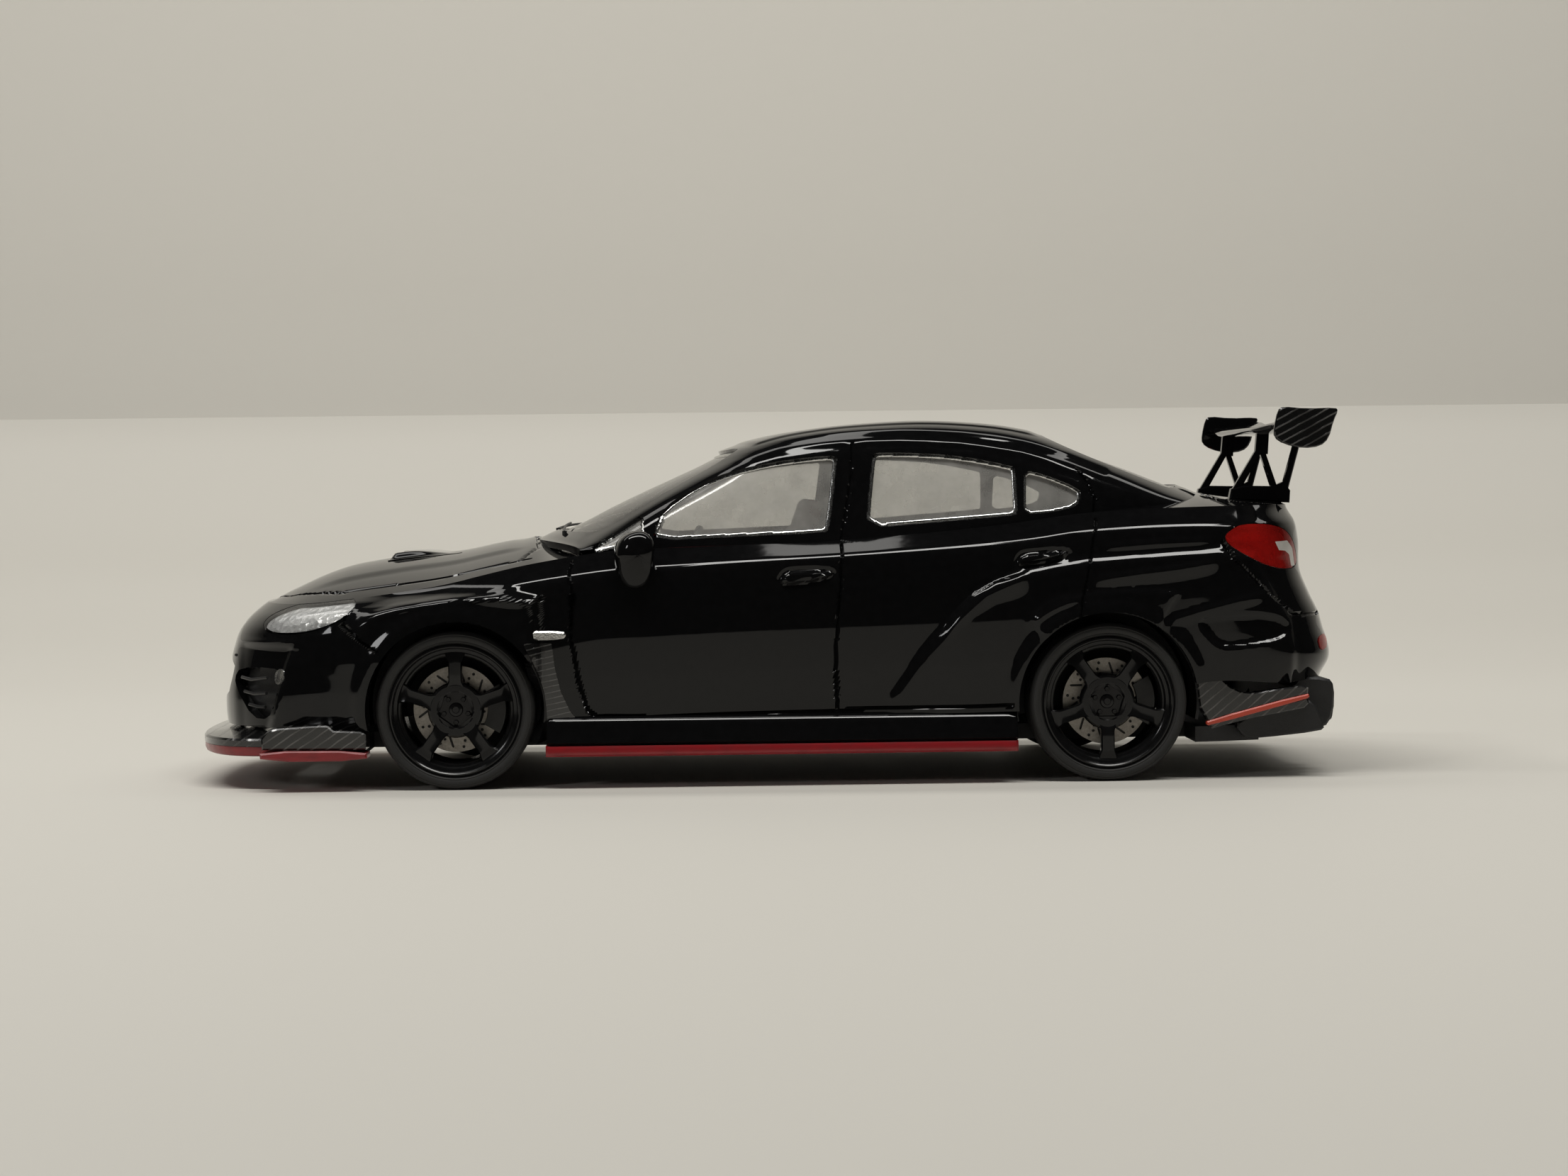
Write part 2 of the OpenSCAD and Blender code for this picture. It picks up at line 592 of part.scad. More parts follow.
module side_skirt(side) {
    x0 = x_fa + arch_r + 0.15;
    x1 = x_ra - arch_r - 0.15;
    y_in = half_w - 0.5;
    color([0.03, 0.03, 0.035]) translate([x0, 0, 0]) rotate([90, 0, 90]) linear_extrude(x1 - x0)
        polygon([[side * y_in, skirt_base], [side * (flare_y - 0.05), skirt_base],
            [side * flare_y, skirt_base + 0.7], [side * (flare_y - 0.1), skirt_base + 1.6],
            [side * (half_w + 0.1), skirt_top], [side * y_in, skirt_top]]);
}
module side_skirt_left() { side_skirt(LEFT); }
module side_skirt_right() { side_skirt(RIGHT); }

module rear_spat(side) {
    x0 = x_ra + arch_r + 0.35;
    color([0.12, 0.12, 0.12])
        across([[x0, 3.6], [x0, bumper_cut - 0.25], [x_tail - 3.4, bumper_cut - 0.5], [x_tail - 3.4, 5.1]],
            0.2, 1.6, side * (half_w - 0.7));
}
module rear_spat_left() { rear_spat(LEFT); }
module rear_spat_right() { rear_spat(RIGHT); }

tip_r = 1.0;
tip_z = 4.3;
tip_y = [6.2, 8.5];
module rear_diffuser() {
    w = half_w - 2.4;
    color([0.08, 0.08, 0.08]) difference() {
        translate([0, w, 0]) rotate([90, 0, 0]) linear_extrude(2 * w) polygon([
            [chassis_back + 0.1, ground_gap], [x_tail - 1.4, ground_gap + 0.9],
            [x_tail - 0.7, bumper_cut - 0.3],
            [x_tail - 1.2, bumper_cut], [x_tail - 3.6, bumper_cut], [x_tail - 3.6, ground_gap + 1.6],
            [chassis_back + 0.1, ground_gap + 1]
        ]);
        for (s = [LEFT, RIGHT]) for (y = tip_y) translate([x_tail - 5, s * y, tip_z])
            rotate([0, 90, 0]) cylinder(r = tip_r + seat_gap, h = 10, $fn = 48);
    }
}
module exhaust_tips() {
    color("silver") for (s = [LEFT, RIGHT]) for (y = tip_y) translate([x_end - 3.4, s * y, tip_z])
        rotate([0, 90, 0]) difference() {
            cylinder(r = tip_r, h = 3.4, $fn = 48);
            translate([0, 0, 0.6]) cylinder(r = tip_r - 0.2, h = 4, $fn = 48);
        }
}

// Rear wing, as profiles [x, z] from the tail and the wing's top.
plate_t = 0.5;
wing_x = x_tail - 5.4;
module side_plate(points, y, t) {
    translate([0, y + t / 2, 0]) rotate([90, 0, 0]) linear_extrude(t) polygon(points);
}
module wing_end_plate(side) {
    color([0.12, 0.12, 0.12]) side_plate([
        [wing_x, wing_h - 1.3], [wing_x + 0.4, wing_h], [wing_x + 2.6, wing_h - 0.25],
        [wing_x + 4.2, wing_h - 0.1], [wing_x + 3.6, wing_h - 1.9], [wing_x + 2.7, wing_h - 2.7],
        [wing_x + 1.1, wing_h - 2.6], [wing_x, wing_h - 2.1]
    ], side * (wing_w / 2 - plate_t / 2), plate_t);
}
module wing_end_plate_left() { wing_end_plate(LEFT); }
module wing_end_plate_right() { wing_end_plate(RIGHT); }
blade_z = wing_h - 1.2;
module wing_blade() {
    span = wing_w - 2 * plate_t - 2 * seat_gap;
    color([0.04, 0.04, 0.04]) side_plate([
        [wing_x + 0.25, blade_z - 0.15], [wing_x + 0.6, blade_z + 0.12], [wing_x + 1.6, blade_z + 0.25],
        [wing_x + 3.0, blade_z + 0.5], [wing_x + 3.8, blade_z + 0.95], [wing_x + 3.75, blade_z + 0.65],
        [wing_x + 2.6, blade_z + 0.1], [wing_x + 1.2, blade_z - 0.25], [wing_x + 0.5, blade_z - 0.3]
    ], 0, span);
}
stay_y = 6.6;
stay_seat = 0.15;
stay_top = x_tail - 4.85;
module wing_stay(side) {
    x0 = x_tail - 6.7;
    x1 = x_tail - 3.3;
    front = deck_at(x0, stay_y) - stay_seat;
    back = deck_at(x1, stay_y) - stay_seat;
    color([0.05, 0.05, 0.05]) difference() {
        side_plate([
            [x0, front], [x1, back], [x1 + 0.35, back + 0.9], [x1 + 1.15, blade_z + 0.33],
            [x1 + 0.6, blade_z + 0.06], [x1 - 0.1, back + 1.4], [stay_top + 0.4, blade_z - 1.6],
            [stay_top + 0.5, blade_z - 0.35], [stay_top - 0.3, blade_z - 0.35],
            [stay_top - 0.35, blade_z - 1.6], [x0, front + 0.5]
        ], side * stay_y, 0.7);
        side_plate([[x0 + 1.0, front + 0.75], [x1 - 0.4, back + 0.75], [stay_top, blade_z - 2.0]],
            side * stay_y, 1);
    }
}
module wing_stay_left() { wing_stay(LEFT); }
module wing_stay_right() { wing_stay(RIGHT); }

// Axles and wheels.
module axle(x) {
    color("silver") translate([x, 0, axle_z]) rotate([90, 0, 0])
        cylinder(r = axle_r, h = 2 * (tyre_y - tyre_w + 0.9), center = true, $fn = 48);
}
module axle_front() { axle(x_fa); }
module axle_rear() { axle(x_ra); }

// A wheel's parts are turned about Z, then laid over with the outer face away from the car.
module at_wheel(x, side) {
    translate([x, side * tyre_y, axle_z]) rotate([-90 * side, 0, 0]) children();
}
rim_lip = 0.5;
spoke_w = 0.95;
hub_r = 1.3;
caliper_angle = 56;
caliper_out = min(disc_r + 0.45, rim_r - rim_lip - 0.25);
module tyre(x, side) {
    color([0.16, 0.16, 0.165]) at_wheel(x, side) rotate_extrude($fn = 96) polygon([
        [rim_r, -tyre_w + 0.2], [rim_r + 0.25, -tyre_w], [tyre_r - 0.35, -tyre_w + 0.1],
        [tyre_r, -tyre_w + 0.5], [tyre_r, -0.5], [tyre_r - 0.35, -0.1], [rim_r + 0.25, 0], [rim_r, -0.2]
    ]);
}
module rim(x, side, turn) {
    face = -0.35;
    barrel = rim_r - rim_lip;
    color([0.03, 0.03, 0.03]) at_wheel(x, side) union() {
        rotate_extrude($fn = 96) polygon([
            [rim_r - 0.02, -0.25], [rim_r - 0.25, -0.1], [rim_r - 0.5, -0.2], [barrel, -0.75],
            [barrel, -tyre_w + 0.4], [rim_r - 0.02, -tyre_w + 0.3]
        ]);
        difference() {
            translate([0, 0, face - 1.0]) linear_extrude(1.0) union() {
                circle(r = hub_r + 0.25, $fn = 48);
                for (i = [0:spokes - 1]) rotate(i * 360 / spokes + turn)
                    translate([0, -spoke_w / 2]) square([barrel + 0.05, spoke_w]);
            }
            translate([0, 0, face - 0.45]) cylinder(r = hub_r - 0.15, h = 1, $fn = 48);
            for (i = [0:4]) rotate(i * 72 + turn + 36) translate([0.82, 0, face - 0.8])
                cylinder(r = 0.17, h = 1, $fn = 20);
        }
        translate([0, 0, face - 0.9]) cylinder(r = 0.42, h = 0.65, $fn = 32);
        translate([0, 0, -tyre_w + 0.35]) difference() {
            cylinder(r = hub_r, h = tyre_w - 1.3, $fn = 48);
            translate([0, 0, -1]) cylinder(r = axle_r, h = 1 + 1.6, $fn = 48);
        }
    }
}
// Disc and caliper are one moulding held in the rim, behind the spokes.
module brake(x, side) {
    color([0.35, 0.33, 0.31]) at_wheel(x, side) translate([0, 0, -2.3]) union() {
        difference() {
            cylinder(r = disc_r, h = 0.5, $fn = 64);
            translate([0, 0, -1]) cylinder(r = hub_r + seat_gap, h = 3, $fn = 48);
            for (i = [0:11]) rotate(i * 30 + 10) translate([disc_r - 0.55, 0, 0.35])
                cylinder(r = 0.12, h = 1, $fn = 16);
        }
        rotate_extrude(angle = caliper_angle, start = -caliper_angle / 2, $fn = 64)
            translate([disc_r - 1.0, -0.1]) square([caliper_out - disc_r + 1.0, 0.8]);
    }
}
module rim_front_left() { rim(x_fa, LEFT, 90); }
module rim_front_right() { rim(x_fa, RIGHT, 90); }
module rim_rear_left() { rim(x_ra, LEFT, -90); }
module rim_rear_right() { rim(x_ra, RIGHT, -90); }
module tyre_front_left() { tyre(x_fa, LEFT); }
module tyre_front_right() { tyre(x_fa, RIGHT); }
module tyre_rear_left() { tyre(x_ra, LEFT); }
module tyre_rear_right() { tyre(x_ra, RIGHT); }
module brake_front_left() { brake(x_fa, LEFT); }
module brake_front_right() { brake(x_fa, RIGHT); }
module brake_rear_left() { brake(x_ra, LEFT); }
module brake_rear_right() { brake(x_ra, RIGHT); }

body_shell();
window_glazing();
chassis_plate();
interior_tub();
seat_front_left();
seat_front_right();
rear_bench();
dashboard();
steering_wheel();
headlight_left();
headlight_right();
tail_light_left();
tail_light_right();
front_grille();
fog_vent_left();
fog_vent_right();
front_splitter();
splitter_block_left();
splitter_block_right();
bonnet_scoop();
wipers();
mirror_left();
mirror_right();
fender_panel_left();
fender_panel_right();
side_skirt_left();
side_skirt_right();
rear_spat_left();
rear_spat_right();
rear_diffuser();
exhaust_tips();
wing_blade();
wing_end_plate_left();
wing_end_plate_right();
wing_stay_left();
wing_stay_right();
chassis_screws();
axle_front();
axle_rear();
rim_front_left();
rim_front_right();
rim_rear_left();
rim_rear_right();
tyre_front_left();
tyre_front_right();
tyre_rear_left();
tyre_rear_right();
brake_front_left();
brake_front_right();
brake_rear_left();
brake_rear_right();
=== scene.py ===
# %% [markdown]
# # A small black saloon for a display shelf
# The object is a collector's car about 75 mm long. The frame below brings in the engineered parts and keeps only
# their meshes; the bodies that move get an empty each as pieces are put on them.
# All shapes here are worked out in millimetres and put into the meshes in metres.

# %% Load the engineered frame
import math

import bpy
import numpy as np
from mathutils import Matrix, Vector
from mathutils.geometry import tessellate_polygon


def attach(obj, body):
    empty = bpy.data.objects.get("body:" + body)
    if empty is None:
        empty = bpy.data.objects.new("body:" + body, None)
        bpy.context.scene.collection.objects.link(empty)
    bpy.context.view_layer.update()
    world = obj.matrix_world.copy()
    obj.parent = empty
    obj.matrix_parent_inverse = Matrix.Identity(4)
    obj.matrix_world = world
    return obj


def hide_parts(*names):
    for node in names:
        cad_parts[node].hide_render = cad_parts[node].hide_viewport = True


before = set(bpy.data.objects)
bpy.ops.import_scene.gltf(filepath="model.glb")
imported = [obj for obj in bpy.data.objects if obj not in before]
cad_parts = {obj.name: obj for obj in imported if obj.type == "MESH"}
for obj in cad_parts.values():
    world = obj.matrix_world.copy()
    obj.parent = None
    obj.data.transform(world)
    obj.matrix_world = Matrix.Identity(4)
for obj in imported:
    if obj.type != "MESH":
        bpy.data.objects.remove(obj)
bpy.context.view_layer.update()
MM = 0.001
FRONT_AXLE, REAR_AXLE, HUB_Z = -20.1, 21.3, 5.02
LEFT, RIGHT = -1, 1

# %% [markdown]
# ## Curves from a few measured points
# Most of the car is described by lines that a designer would draw: the roof line, the belt line, the
# outline of a window. A curve object could hold them, but the shapes below need numbers, so each line
# is a few points joined by cubic pieces whose slopes come from their neighbours.

# %% Curves, smooth steps and outlines
def curve(points):
    """Cubic Hermite curve through (x, value) points; the slope at a point is that of its two neighbours."""
    xs, ys = np.array(points, float).T
    slope = np.gradient(ys, xs)
    slope[0], slope[-1] = 0.0, 0.0

    def at(x):
        x = np.clip(x, xs[0], xs[-1])
        i = np.clip(np.searchsorted(xs, x, side="right") - 1, 0, len(xs) - 2)
        h = xs[i + 1] - xs[i]
        t = (x - xs[i]) / h
        a, b = slope[i] * h, slope[i + 1] * h
        return ((2 * t**3 - 3 * t**2 + 1) * ys[i] + (t**3 - 2 * t**2 + t) * a
                + (3 * t**2 - 2 * t**3) * ys[i + 1] + (t**3 - t**2) * b)
    return at


def step(x, low, high):
    """0 below low, 1 above high, and a cubic ease between them."""
    t = np.clip((x - low) / (high - low), 0, 1)
    return t * t * (3 - 2 * t)


def rounded(points, times=2, closed=True):
    """Cuts each corner of an outline at a quarter and three quarters of its sides, a few times over."""
    p = np.array(points, float)
    for _ in range(times):
        q = np.roll(p, -1, axis=0) if closed else p[1:]
        base = p if closed else p[:-1]
        cut = np.stack([0.75 * base + 0.25 * q, 0.25 * base + 0.75 * q], axis=1).reshape(-1, 2)
        p = cut if closed else np.vstack([p[:1], cut[1:-1], p[-1:]])
    return p


def grown(points, amount):
    """Moves an outline's sides out by an amount, along the mean normal of the two sides at each corner."""
    p = np.array(points, float)
    before, after = p - np.roll(p, 1, axis=0), np.roll(p, -1, axis=0) - p
    area = 0.5 * np.sum(p[:, 0] * np.roll(p[:, 1], -1) - np.roll(p[:, 0], -1) * p[:, 1])
    turn = 1 if area > 0 else -1
    unit = [d / np.maximum(np.linalg.norm(d, axis=1, keepdims=True), 1e-9) for d in (before, after)]
    n = sum(np.stack([d[:, 1], -d[:, 0]], axis=1) for d in unit) * turn
    n /= np.maximum(np.linalg.norm(n, axis=1, keepdims=True), 1e-9)
    bend = np.clip(np.sum(n * np.stack([unit[0][:, 1], -unit[0][:, 0]], axis=1) * turn, axis=1), 0.6, 1)
    return p + n * (amount / bend)[:, None]


def nearest(path, a, b, closed):
    """The nearest point of a path to each (a, b), and its distance."""
    p = np.array(path, float)
    q = np.roll(p, -1, axis=0) if closed else p[1:]
    p = p if closed else p[:-1]
    best = np.full(a.shape, np.inf)
    near_a, near_b = np.zeros(a.shape), np.zeros(a.shape)
    for (pa, pb), (qa, qb) in zip(p, q):
        la, lb = qa - pa, qb - pb
        t = np.clip(((a - pa) * la + (b - pb) * lb) / max(la * la + lb * lb, 1e-12), 0, 1)
        ca, cb = pa + t * la, pb + t * lb
        d = np.hypot(a - ca, b - cb)
        closer = d < best
        best = np.where(closer, d, best)
        near_a, near_b = np.where(closer, ca, near_a), np.where(closer, cb, near_b)
    return near_a, near_b, best


def inside(outline, a, b):
    """True where (a, b) lies inside a closed outline, by counting the sides to one side of it."""
    p = np.array(outline, float)
    odd = np.zeros(a.shape, bool)
    for (pa, pb), (qa, qb) in zip(p, np.roll(p, -1, axis=0)):
        if pb != qb:
            odd ^= ((pb > b) != (qb > b)) & (a < (qa - pa) * (b - pb) / (qb - pb) + pa)
    return odd


def depth_in(outline, a, b):
    """Signed distance into a closed outline: positive inside."""
    d = nearest(outline, a, b, True)[2]
    return np.where(inside(outline, a, b), d, -d)


print("a rounded square has", len(rounded([(0, 0), (1, 0), (1, 1), (0, 1)])), "points")

# %% [markdown]
# ## A surface on a grid, with its lines pulled straight
# A car's skin can be modelled with subdivision surfaces, but its shut lines, windows and lamps then
# need many hand-placed loops. Here a panel is a function of two parameters on a fine grid. The grid
# points next to a drawn line are pulled onto it, so a shut line can be pressed in as a clean V and a
# window can be cut out with a smooth edge.

# %% The panel grid
class Panel:
    """A surface form(u, v) in millimetres on a grid, whose points can be pulled onto drawn lines."""

    VIEWS = {"side": (0, 2), "top": (0, 1), "end": (1, 2)}
    SLIVER = 0.004  # a triangle lower than this over its longest side, in millimetres, is left out

    def __init__(self, form, u, v):
        self.form = form
        self.u, self.v = np.meshgrid(u, v, indexing="ij")
        self.du = np.gradient(np.asarray(u, float))[:, None] + 0 * self.u
        self.dv = np.gradient(np.asarray(v, float))[None, :] + 0 * self.v
        self.sink = np.zeros(self.u.shape)
        self.cuts = []
        self.where = form(self.u, self.v)

    def _move(self, sel, view, find, reach):
        """Newton steps that bring the chosen points to the places that find gives in the flat view."""
        a, b = self.VIEWS[view]
        u, v = self.u[sel].copy(), self.v[sel].copy()
        du, dv = self.du[sel], self.dv[sel]
        near = None
        for _ in range(3):
            p = self.form(u, v)
            pu = (self.form(u + du * 0.05, v) - p) / (du * 0.05)[:, None]
            pv = (self.form(u, v + dv * 0.05) - p) / (dv * 0.05)[:, None]
            ta, tb = find(p[:, a], p[:, b])
            da, db = ta - p[:, a], tb - p[:, b]
            det = pu[:, a] * pv[:, b] - pu[:, b] * pv[:, a]
            det = np.where(np.abs(det) < 1e-9, 1e-9, det)
            mu = (da * pv[:, b] - db * pv[:, a]) / det
            mv = (pu[:, a] * db - pu[:, b] * da) / det
            far = np.hypot(mu / du, mv / dv)
            if near is None:
                near = far < reach
            u += np.where(near, np.clip(mu, -du, du), 0)
            v += np.where(near, np.clip(mv, -dv, dv), 0)
        self.u[sel], self.v[sel] = u, v
        self.where[sel] = self.form(u, v)
        hit = np.zeros(self.u.shape, bool)
        hit[sel] = near
        return hit

    def pull(self, path, view="side", closed=False, reach=0.56, facing=None):
        """Pulls grid points within about half a cell of a path onto it and returns which ones moved."""
        a, b = self.VIEWS[view]
        path = np.array(path, float)
        pa, pb = self.where[..., a], self.where[..., b]
        box = ((pa > path[:, 0].min() - 0.5) & (pa < path[:, 0].max() + 0.5)
               & (pb > path[:, 1].min() - 0.5) & (pb < path[:, 1].max() + 0.5))
        if facing is not None:
            box &= facing(self.where)
        if not box.any():
            return box
        return self._move(box, view, lambda x, y: nearest(path, x, y, closed)[:2], reach)

    def groove(self, path, depth=0.16, view="side", facing=None):
        """Presses a V along a path: the points on it sink and their neighbours stay."""
        hit = self.pull(path, view, facing=facing)
        self.sink[hit] = np.maximum(self.sink[hit], depth)

    def cut(self, outline, view="side", keep_inside=False, facing=None):
        """Removes what lies inside an outline, or outside it."""
        hit = self.pull(outline, view, closed=True, facing=facing)
        a, b = self.VIEWS[view]
        inner = inside(outline, self.where[..., a], self.where[..., b])
        if facing is not None:
            inner &= facing(self.where)
        sign = np.where(inner, -1, 1)
        sign[hit] = 0
        self.cuts.append((sign, outline, view, keep_inside, facing))

    def points(self):
        """The grid's places, sunk along the inward normal where grooves are."""
        p = self.where
        n = np.cross(np.gradient(p, axis=0), np.gradient(p, axis=1))
        n /= np.maximum(np.linalg.norm(n, axis=2, keepdims=True), 1e-12)
        return p - n * self.sink[..., None]

    def faces(self):
        """Two triangles for each cell, split so that no triangle crosses a cut line, without folds and slivers."""
        rows, cols = self.u.shape
        index = np.arange(rows * cols).reshape(rows, cols)
        q = np.stack([index[:-1, :-1], index[1:, :-1], index[1:, 1:], index[:-1, 1:]], axis=-1).reshape(-1, 4)
        other = np.zeros(len(q), bool)
        for sign, *_ in self.cuts:
            s = sign.ravel()[q]
            other |= s[:, 0] * s[:, 2] < 0
        tri = np.where(other[:, None, None], q[:, [[0, 1, 3], [1, 2, 3]]], q[:, [[0, 1, 2], [0, 2, 3]]])
        tri = tri.reshape(-1, 3)
        keep = np.ones(len(tri), bool)
        flat = self.where.reshape(-1, 3)
        for sign, outline, view, keep_inside, facing in self.cuts:
            s = sign.ravel()[tri]
            a, b = self.VIEWS[view]
            middle = flat[tri].mean(axis=1)
            inner = inside(outline, middle[:, a], middle[:, b])
            if facing is not None:
                inner &= facing(middle)
            inner = np.where(s.min(axis=1) * s.max(axis=1) < 0, inner,
                             np.where(s.min(axis=1) < 0, True, np.where(s.max(axis=1) > 0, False, inner)))
            keep &= inner if keep_inside else ~inner
        outward_normal = np.cross(np.gradient(self.where, axis=0), np.gradient(self.where, axis=1)).reshape(-1, 3)
        corner_a, corner_b, corner_c = (flat[tri[:, k]] for k in range(3))
        turned = np.cross(corner_b - corner_a, corner_c - corner_a)
        longest = np.maximum(np.linalg.norm(corner_b - corner_a, axis=1), np.linalg.norm(corner_c - corner_b, axis=1))
        keep &= np.sum(turned * outward_normal[tri[:, 0]], axis=1) > 0
        keep &= np.linalg.norm(turned, axis=1) > self.SLIVER * longest
        return tri[keep]


def raised(form, amount):
    """The same surface moved out along its normal by an amount."""
    def moved(u, v):
        p = form(u, v)
        e = 1e-3
        n = np.cross(form(u + e, v) - p, form(u, v + e) - p)
        return p + amount * n / np.maximum(np.linalg.norm(n, axis=-1, keepdims=True), 1e-15)
    return moved


def spaced(low, high, gap):
    return np.linspace(low, high, max(2, int(round((high - low) / gap)) + 1))


print("panel grid ready")

# %% [markdown]
# ## Putting a piece into the scene
# Every piece gets its own mesh, a finish, the body that it rides on, and the engineered parts that it
# stands for. Doing this in one place keeps the pieces alike: smooth faces, with edges kept sharp
# where two faces meet at a clear angle.

# %% Meshes from arrays
finishes = {}


def triangles(faces):
    """Quads split into two triangles each; triangles stay as they are."""
    faces = np.asarray(faces)
    return faces if faces.shape[1] == 3 else np.vstack([faces[:, [0, 1, 2]], faces[:, [0, 2, 3]]])


def with_lip(points, faces, deep):
    """Adds a strip that goes in from every open edge, against the mean of the faces' normals by area."""
    p, tri = np.asarray(points, float).reshape(-1, 3), triangles(faces)
    face_normal = np.cross(p[tri[:, 1]] - p[tri[:, 0]], p[tri[:, 2]] - p[tri[:, 0]])
    n = np.zeros(p.shape)
    for k in range(3):
        np.add.at(n, tri[:, k], face_normal)
    n /= np.maximum(np.linalg.norm(n, axis=1, keepdims=True), 1e-12)
    edge = np.concatenate([tri[:, [0, 1]], tri[:, [1, 2]], tri[:, [2, 0]]])
    low, high = edge.min(axis=1), edge.max(axis=1)
    _, which, count = np.unique(low * len(p) + high, return_inverse=True, return_counts=True)
    a, b = edge[count[which.ravel()] == 1].T
    strip = np.stack([b, a, a + len(p), b + len(p)], axis=1)
    return np.vstack([p, p - deep * n]), np.vstack([tri, triangles(strip)])


def mesh_piece(name, points, faces, finish, body="car", slot=None, stands_for=(), sharp=34, lip=0.0):
    """Makes an object from points in millimetres and triangles or quads."""
    if lip:
        points, faces = with_lip(points, faces, lip)
    faces = np.asarray(faces)
    used, faces_flat = np.unique(faces.ravel(), return_inverse=True)
    pts = np.asarray(points, float).reshape(-1, 3)[used] * MM
    width = faces.shape[1]
    mesh = bpy.data.meshes.new(name)
    mesh.vertices.add(len(pts))
    mesh.vertices.foreach_set("co", pts.ravel())
    mesh.loops.add(faces.size)
    mesh.loops.foreach_set("vertex_index", faces_flat.ravel().astype(np.int32))
    mesh.polygons.add(len(faces))
    mesh.polygons.foreach_set("loop_start", np.arange(0, faces.size, width, dtype=np.int32))
    mesh.update(calc_edges=True)
    mesh.validate(clean_customdata=False)
    mesh.polygons.foreach_set("use_smooth", np.ones(len(mesh.polygons), bool))
    mesh.set_sharp_from_angle(angle=math.radians(sharp))
    obj = bpy.data.objects.new(name, mesh)
    bpy.context.scene.collection.objects.link(obj)
    mesh.materials.append(finishes[finish])
    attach(obj, body)
    if stands_for:
        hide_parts(*stands_for)
    return obj


def grid_faces(rows, cols, wrap_rows=False, wrap_cols=False):
    """Quads of a grid of points, joined round where it closes."""
    r = np.arange(rows if wrap_rows else rows - 1)
    c = np.arange(cols if wrap_cols else cols - 1)
    i, j = [a.ravel() for a in np.meshgrid(r, c, indexing="ij")]
    i2, j2 = (i + 1) % rows, (j + 1) % cols
    return np.stack([i * cols + j, i2 * cols + j, i2 * cols + j2, i * cols + j2], axis=1)


def merged(*parts):
    """Several (points, quads or triangles) as one, with every face a triangle."""
    pts, tris, base = [], [], 0
    for p, f in parts:
        p, f = np.asarray(p, float).reshape(-1, 3), triangles(f)
        pts.append(p)
        tris.append(f + base)
        base += len(p)
    return np.vstack(pts), np.vstack(tris)


def mirrored(part):
    """The same shape on the car's other side, with its faces turned back outwards."""
    p, f = part
    return np.asarray(p, float).reshape(-1, 3) * (1, -1, 1), np.asarray(f)[:, ::-1]


print("mesh builder ready")

# %% [markdown]
# ## Shader maths written as Python
# Node trees can be wired by hand, one node and link at a time. A small class that wraps a socket lets
# a finish be written as a formula instead: adding two wrapped values adds a Math node behind them.

# %% The socket wrapper and the finish recipe
class Value:
    """A number at a socket of a node tree; Python's operators add the Math nodes."""

    def __init__(self, shader, socket):
        self.shader, self.socket = shader, socket

    def _math(self, operation, a, b):
        return self.shader.node("ShaderNodeMath", {"operation": operation}, {0: a, 1: b})

    def __add__(self, other): return self._math("ADD", self, other)
    def __radd__(self, other): return self._math("ADD", other, self)
    def __sub__(self, other): return self._math("SUBTRACT", self, other)
    def __rsub__(self, other): return self._math("SUBTRACT", other, self)
    def __mul__(self, other): return self._math("MULTIPLY", self, other)
    def __rmul__(self, other): return self._math("MULTIPLY", other, self)
    def __gt__(self, other): return self._math("GREATER_THAN", self, other)
    def __lt__(self, other): return self._math("LESS_THAN", self, other)
    def wave(self): return self._math("SINE", self, 0)
    def repeat(self): return self._math("FRACT", self, 0)


class Shader:
    """One finish: node() adds any node, with its settings first and then its sockets' values or links."""

    def __init__(self, name):
        self.material = bpy.data.materials.new(name)
        self.material.use_nodes = True
        self.tree = self.material.node_tree
        self.tree.nodes.clear()
        self.end = self.tree.nodes.new("ShaderNodeOutputMaterial")
        finishes[name] = self.material

    def node(self, kind, settings=None, sockets=None, out=0):
        n = self.tree.nodes.new(kind)
        for key, value in (settings or {}).items():
            if key == "stops":
                ramp = n.color_ramp.elements
                while len(ramp) < len(value):
                    ramp.new(0.5)
                for element, (place, colour) in zip(ramp, value):
                    element.position, element.color = place, colour
            else:
                setattr(n, key, value)
        for key, value in (sockets or {}).items():
            if isinstance(value, Value):
                self.tree.links.new(value.socket, n.inputs[key])
            elif value is not None:
                n.inputs[key].default_value = value
        return Value(self, n.outputs[out])

    def place(self, scale=(1, 1, 1), turn=(0, 0, 0)):
        """Object coordinates in millimetres, scaled and turned."""
        at = self.node("ShaderNodeTexCoord", out="Object")
        return self.node("ShaderNodeMapping", sockets={
            "Vector": at, "Scale": tuple(1000 * s for s in scale), "Rotation": turn})

    def noise(self, size, detail=3.0, scale=(1, 1, 1)):
        """Cloudy noise between 0 and 1 whose blobs are about size millimetres."""
        return self.node("ShaderNodeTexNoise", sockets={
            "Vector": self.place(scale), "Scale": 1.0 / size, "Detail": detail})

    def axis(self, scale, turn, which):
        split = self.node("ShaderNodeSeparateXYZ", sockets={0: self.place(scale, turn)}, out=which)
        return split

    def mix(self, factor, a, b):
        return self.node("ShaderNodeMix", {"data_type": "RGBA"}, {0: factor, 6: a, 7: b}, out=2)

    def bump(self, height, distance, strength=1.0):
        return self.node("ShaderNodeBump", sockets={
            "Height": height, "Distance": distance * MM, "Strength": strength})

    def surface(self, **sockets):
        names = {k.replace("_", " ").title().replace("Ior", "IOR"): v for k, v in sockets.items()}
        return self.node("ShaderNodeBsdfPrincipled", sockets=names)

    def finish(self, shader):
        self.tree.links.new(shader.socket, self.end.inputs["Surface"])
        return self.material


def rgb(r, g, b):
    return (r, g, b, 1.0)


print("shader wrapper ready")

